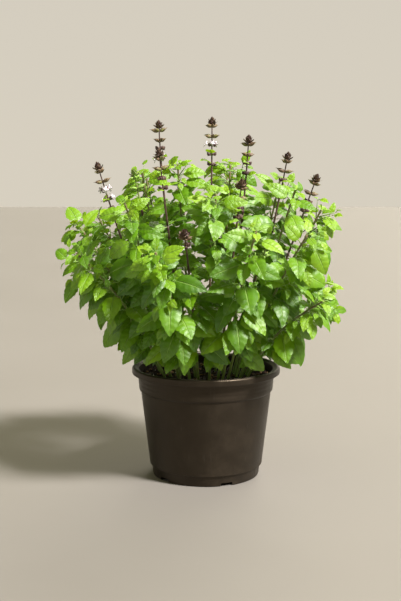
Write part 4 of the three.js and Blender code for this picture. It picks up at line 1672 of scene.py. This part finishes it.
def plastic_finish():
    """Dark brown-black plastic with a fine moulded grain, dull dusty patches and soft vertical scuffs."""
    finish, tree, shader = new_finish("pot plastic")
    places = object_places(tree)
    grain = noise(tree, places, 1500, 2)
    patches = noise(tree, places, 38, 4, 0.6)
    scuffs = smooth_step(tree, noise(tree, stretched(tree, places, (1, 1, 0.1)), 420, 3), 0.6, 0.78)
    _, _, height = parts_of(tree, places)
    near_floor = smooth_step(tree, height, 0.0, 0.03, 1, 0)
    dust = smooth_step(tree, patches, 0.42, 0.75)
    dust = calculate(tree, "MULTIPLY", dust, scaled(tree, near_floor, 0.5, 0.22))
    colour = colour_steps(tree, patches, PLASTIC_BROWNS)
    colour = blend_colours(tree, dust, colour, DUST_BROWN)
    colour = blend_colours(tree, scaled(tree, scuffs, 0.2), colour, SCUFF_GREY)
    tree.links.new(colour, shader.inputs["Base Color"])
    rough = scaled(tree, patches, 0.16, 0.33)
    tree.links.new(scaled(tree, dust, 0.5, rough), shader.inputs["Roughness"])
    shader.inputs["Specular IOR Level"].default_value = PLASTIC_GLOSS
    shader.inputs["Specular Tint"].default_value = PLASTIC_GLOSS_TINT
    relief(tree, shader, scaled(tree, scuffs, -0.6, grain), 0.22, 0.00025)
    return finish


pot_piece = spin_outline("nursery_pot", pot_outline(), POT_STEPS)
cut_notches(pot_piece)
pot_piece.data.materials.clear()
pot_piece.data.materials.append(plastic_finish())
pot_piece.select_set(True)
bpy.context.view_layer.objects.active = pot_piece
bpy.ops.object.shade_smooth_by_angle(angle=SMOOTH_BELOW)
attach(pot_piece, "root")
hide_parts("pot")
print("pot faces:", len(pot_piece.data.polygons))

# %% [markdown]
# ## The soil
#
# Potting soil is dark, damp and crumbly, with flat bark chips, bits of straw and white grains. Its
# body is spun like the pot, and its top is then displaced by a cloud pattern. Crumbs and white grains
# are copies of one small master, chips and straw of another. They are scattered by seeded draws,
# turned and sized at random, set down on the soil by a ray from above, and joined into one piece.

# %% Soil body
SOIL_RADIUS = 75.6 * MM
SOIL_TOP = SOIL_LEVEL * MM
SOIL_RINGS = 30
SOIL_STEPS = 84
SOIL_RELIEF = 3.2 * MM
SOIL_LUMP = 7 * MM
SOIL_GLOSS = 0.12
SOIL_BROWNS = [
    (0.1, (0.006, 0.004, 0.003)),
    (0.4, (0.020, 0.011, 0.007)),
    (0.7, (0.055, 0.030, 0.016)),
    (1.0, (0.24, 0.15, 0.08)),
]


def soil_finish():
    finish, tree, shader = new_finish("potting soil")
    places = object_places(tree)
    lumps = noise(tree, places, 240, 6, 0.7)
    wet = noise(tree, places, 42, 2)
    shade = calculate(tree, "ADD", lumps, tint_of(tree))
    shade = calculate(tree, "SUBTRACT", shade, 0.3, clamp=True)
    tree.links.new(colour_steps(tree, shade, SOIL_BROWNS), shader.inputs["Base Color"])
    tree.links.new(smooth_step(tree, wet, 0.3, 0.7, 0.62, 0.95), shader.inputs["Roughness"])
    shader.inputs["Specular IOR Level"].default_value = SOIL_GLOSS
    relief(tree, shader, calculate(tree, "ADD", lumps, noise(tree, places, 1400, 3)), 0.9, 0.0012)
    return finish


def soil_body():
    """The soil from the pot's floor to its crumbly top."""
    low = FLOOR_THICKNESS + GAP * MM
    points = [(0, low), (FOOT_RADIUS - 3.6 * MM, low), (SOIL_RADIUS - 4 * MM, RIM_BAND_Z - 1 * MM)]
    points += [(SOIL_RADIUS * (1 - i / SOIL_RINGS), SOIL_TOP) for i in range(SOIL_RINGS + 1)]
    body = spin_outline("soil_body", points, SOIL_STEPS)
    crumble = bpy.data.textures.new("crumble", "CLOUDS")
    crumble.noise_scale = SOIL_LUMP
    crumble.noise_depth = 3
    top = body.vertex_groups.new(name="top")
    top.add([v.index for v in body.data.vertices if v.co.z > SOIL_TOP - 1 * MM], 1, "REPLACE")
    rough = body.modifiers.new("crumble", "DISPLACE")
    rough.texture = crumble
    rough.texture_coords = "GLOBAL"
    rough.direction = "Z"
    rough.vertex_group = top.name
    rough.strength = SOIL_RELIEF
    body.select_set(True)
    bpy.context.view_layer.objects.active = body
    bpy.ops.object.modifier_apply(modifier=rough.name)
    note_tint(body.data, 0.0, soil_brown)
    return body


soil_brown = soil_finish()
soil_piece = soil_body()
soil_piece.select_set(True)
bpy.ops.object.shade_smooth()
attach(soil_piece, "root")
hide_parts("soil")
print("soil faces:", len(soil_piece.data.polygons))

# %% Crumbs, chips, straw and white grains
# For each kind: how many, their least and greatest size, the share of it along each axis, their tint
LITTER = {
    "crumb": {"count": 420, "low": 1.2, "high": 3.4, "form": (1, 0.85, 0.7), "tint": (0.0, 0.35)},
    "chip": {"count": 120, "low": 2.5, "high": 6.5, "form": (1, 0.6, 0.18), "tint": (0.4, 0.95)},
    "straw": {"count": 26, "low": 5, "high": 12, "form": (1, 0.09, 0.07), "tint": (0.8, 1.0)},
    "white grain": {"count": 34, "low": 1.0, "high": 2.2, "form": (1, 0.9, 0.8), "tint": (0.0, 1.0)},
}
LITTER_REACH = 71.5
LITTER_CLEAR = 3
LITTER_SINK = 0.3
DROP_HEIGHT = 20
WHITE_STEPS = [(0.3, (0.30, 0.27, 0.22)), (0.6, (0.62, 0.60, 0.55))]


def model_crumb():
    bpy.ops.object.select_all(action="DESELECT")
    bpy.ops.mesh.primitive_ico_sphere_add(subdivisions=1, radius=0.5)
    crumb = bpy.context.object
    open_object(crumb)
    bpy.ops.mesh.select_all(action="SELECT")
    bpy.ops.transform.vertex_random(offset=0.12, uniform=0.4, normal=0.6, seed=3)
    close_object()
    return set_aside(crumb, "crumb")


def model_chip():
    bpy.ops.object.select_all(action="DESELECT")
    bpy.ops.mesh.primitive_cube_add(size=1)
    chip = bpy.context.object
    open_object(chip)
    bpy.ops.mesh.select_all(action="SELECT")
    bpy.ops.mesh.bevel(offset=0.16, segments=1)
    bpy.ops.mesh.select_all(action="SELECT")
    bpy.ops.transform.vertex_random(offset=0.1, uniform=0.5, normal=0.3, seed=5)
    close_object()
    return set_aside(chip, "chip")


def grain_finish():
    finish, tree, shader = new_finish("white grain")
    places = object_places(tree)
    pits = noise(tree, places, 1800, 3)
    tree.links.new(colour_steps(tree, pits, WHITE_STEPS), shader.inputs["Base Color"])
    tree.links.new(scaled(tree, pits, 0.2, 0.7), shader.inputs["Roughness"])
    relief(tree, shader, pits, 0.6, 0.0004)
    return finish


def scatter(surface, master, finish, draw, count, low, high, form, tint):
    """Copies of a master at seeded places on a surface, clear of the stems."""
    copies = []
    shape = places_of(master.data)
    while len(copies) < count:
        turn, far = draw(0, 2 * math.pi), LITTER_REACH * math.sqrt(draw())
        place = Vector((math.cos(turn) * far, math.sin(turn) * far, SOIL_LEVEL))
        size = draw(low, high)
        spin = Matrix.Rotation(draw(0, 2 * math.pi), 3, "Z") @ Matrix.Rotation(draw(-0.5, 0.5), 3, "X")
        spin = spin @ Matrix.Rotation(draw(-0.35, 0.35), 3, "Y")
        shade = draw(*tint)
        if min(np.linalg.norm(stem.root - np.array(place)) for stem in stems) < LITTER_CLEAR:
            continue
        above = (place + Vector((0, 0, DROP_HEIGHT))) * MM
        height = surface.ray_cast(above, (0, 0, -1))[1].z / MM
        centre = np.array((place.x, place.y, height + size * form[2] * LITTER_SINK))
        places = centre + (shape * form * size) @ np.array(spin).T
        copies.append(copy_with(master, places * MM, shade, finish))
    return copies


litter_draw = draws(31337)
crumb, chip = model_crumb(), model_chip()
white = grain_finish()
litter = []
for kind, facts in LITTER.items():
    master = chip if kind in ("chip", "straw") else crumb
    finish = white if kind == "white grain" else soil_brown
    litter += scatter(soil_piece, master, finish, litter_draw, **facts)
litter_piece = join_as("soil_litter", litter)
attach(litter_piece, "root")
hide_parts("soil")
print("pieces of litter:", len(litter), "faces:", len(litter_piece.data.polygons))

# %% [markdown]
# ## The floor
#
# A plain pale floor carries the pot's shadow and sends soft light up under the leaves. It reaches
# seven metres to each side, so that its far edge looks like a horizon.

# %% Floor
FLOOR_SIZE = 14.0
FLOOR_GREYS = [(0.3, (0.186, 0.174, 0.157)), (0.7, (0.198, 0.186, 0.169))]


def floor_finish():
    finish, tree, shader = new_finish("pale floor")
    cloudy = noise(tree, object_places(tree), 3, 3)
    tree.links.new(colour_steps(tree, cloudy, FLOOR_GREYS), shader.inputs["Base Color"])
    tree.links.new(scaled(tree, cloudy, 0.1, 0.6), shader.inputs["Roughness"])
    return finish


bpy.ops.object.select_all(action="DESELECT")
bpy.ops.mesh.primitive_plane_add(size=FLOOR_SIZE, location=(0, 0, 0))
floor = bpy.context.object
floor.name = "pale_floor"
floor.data.materials.append(floor_finish())
print("floor size:", FLOOR_SIZE)
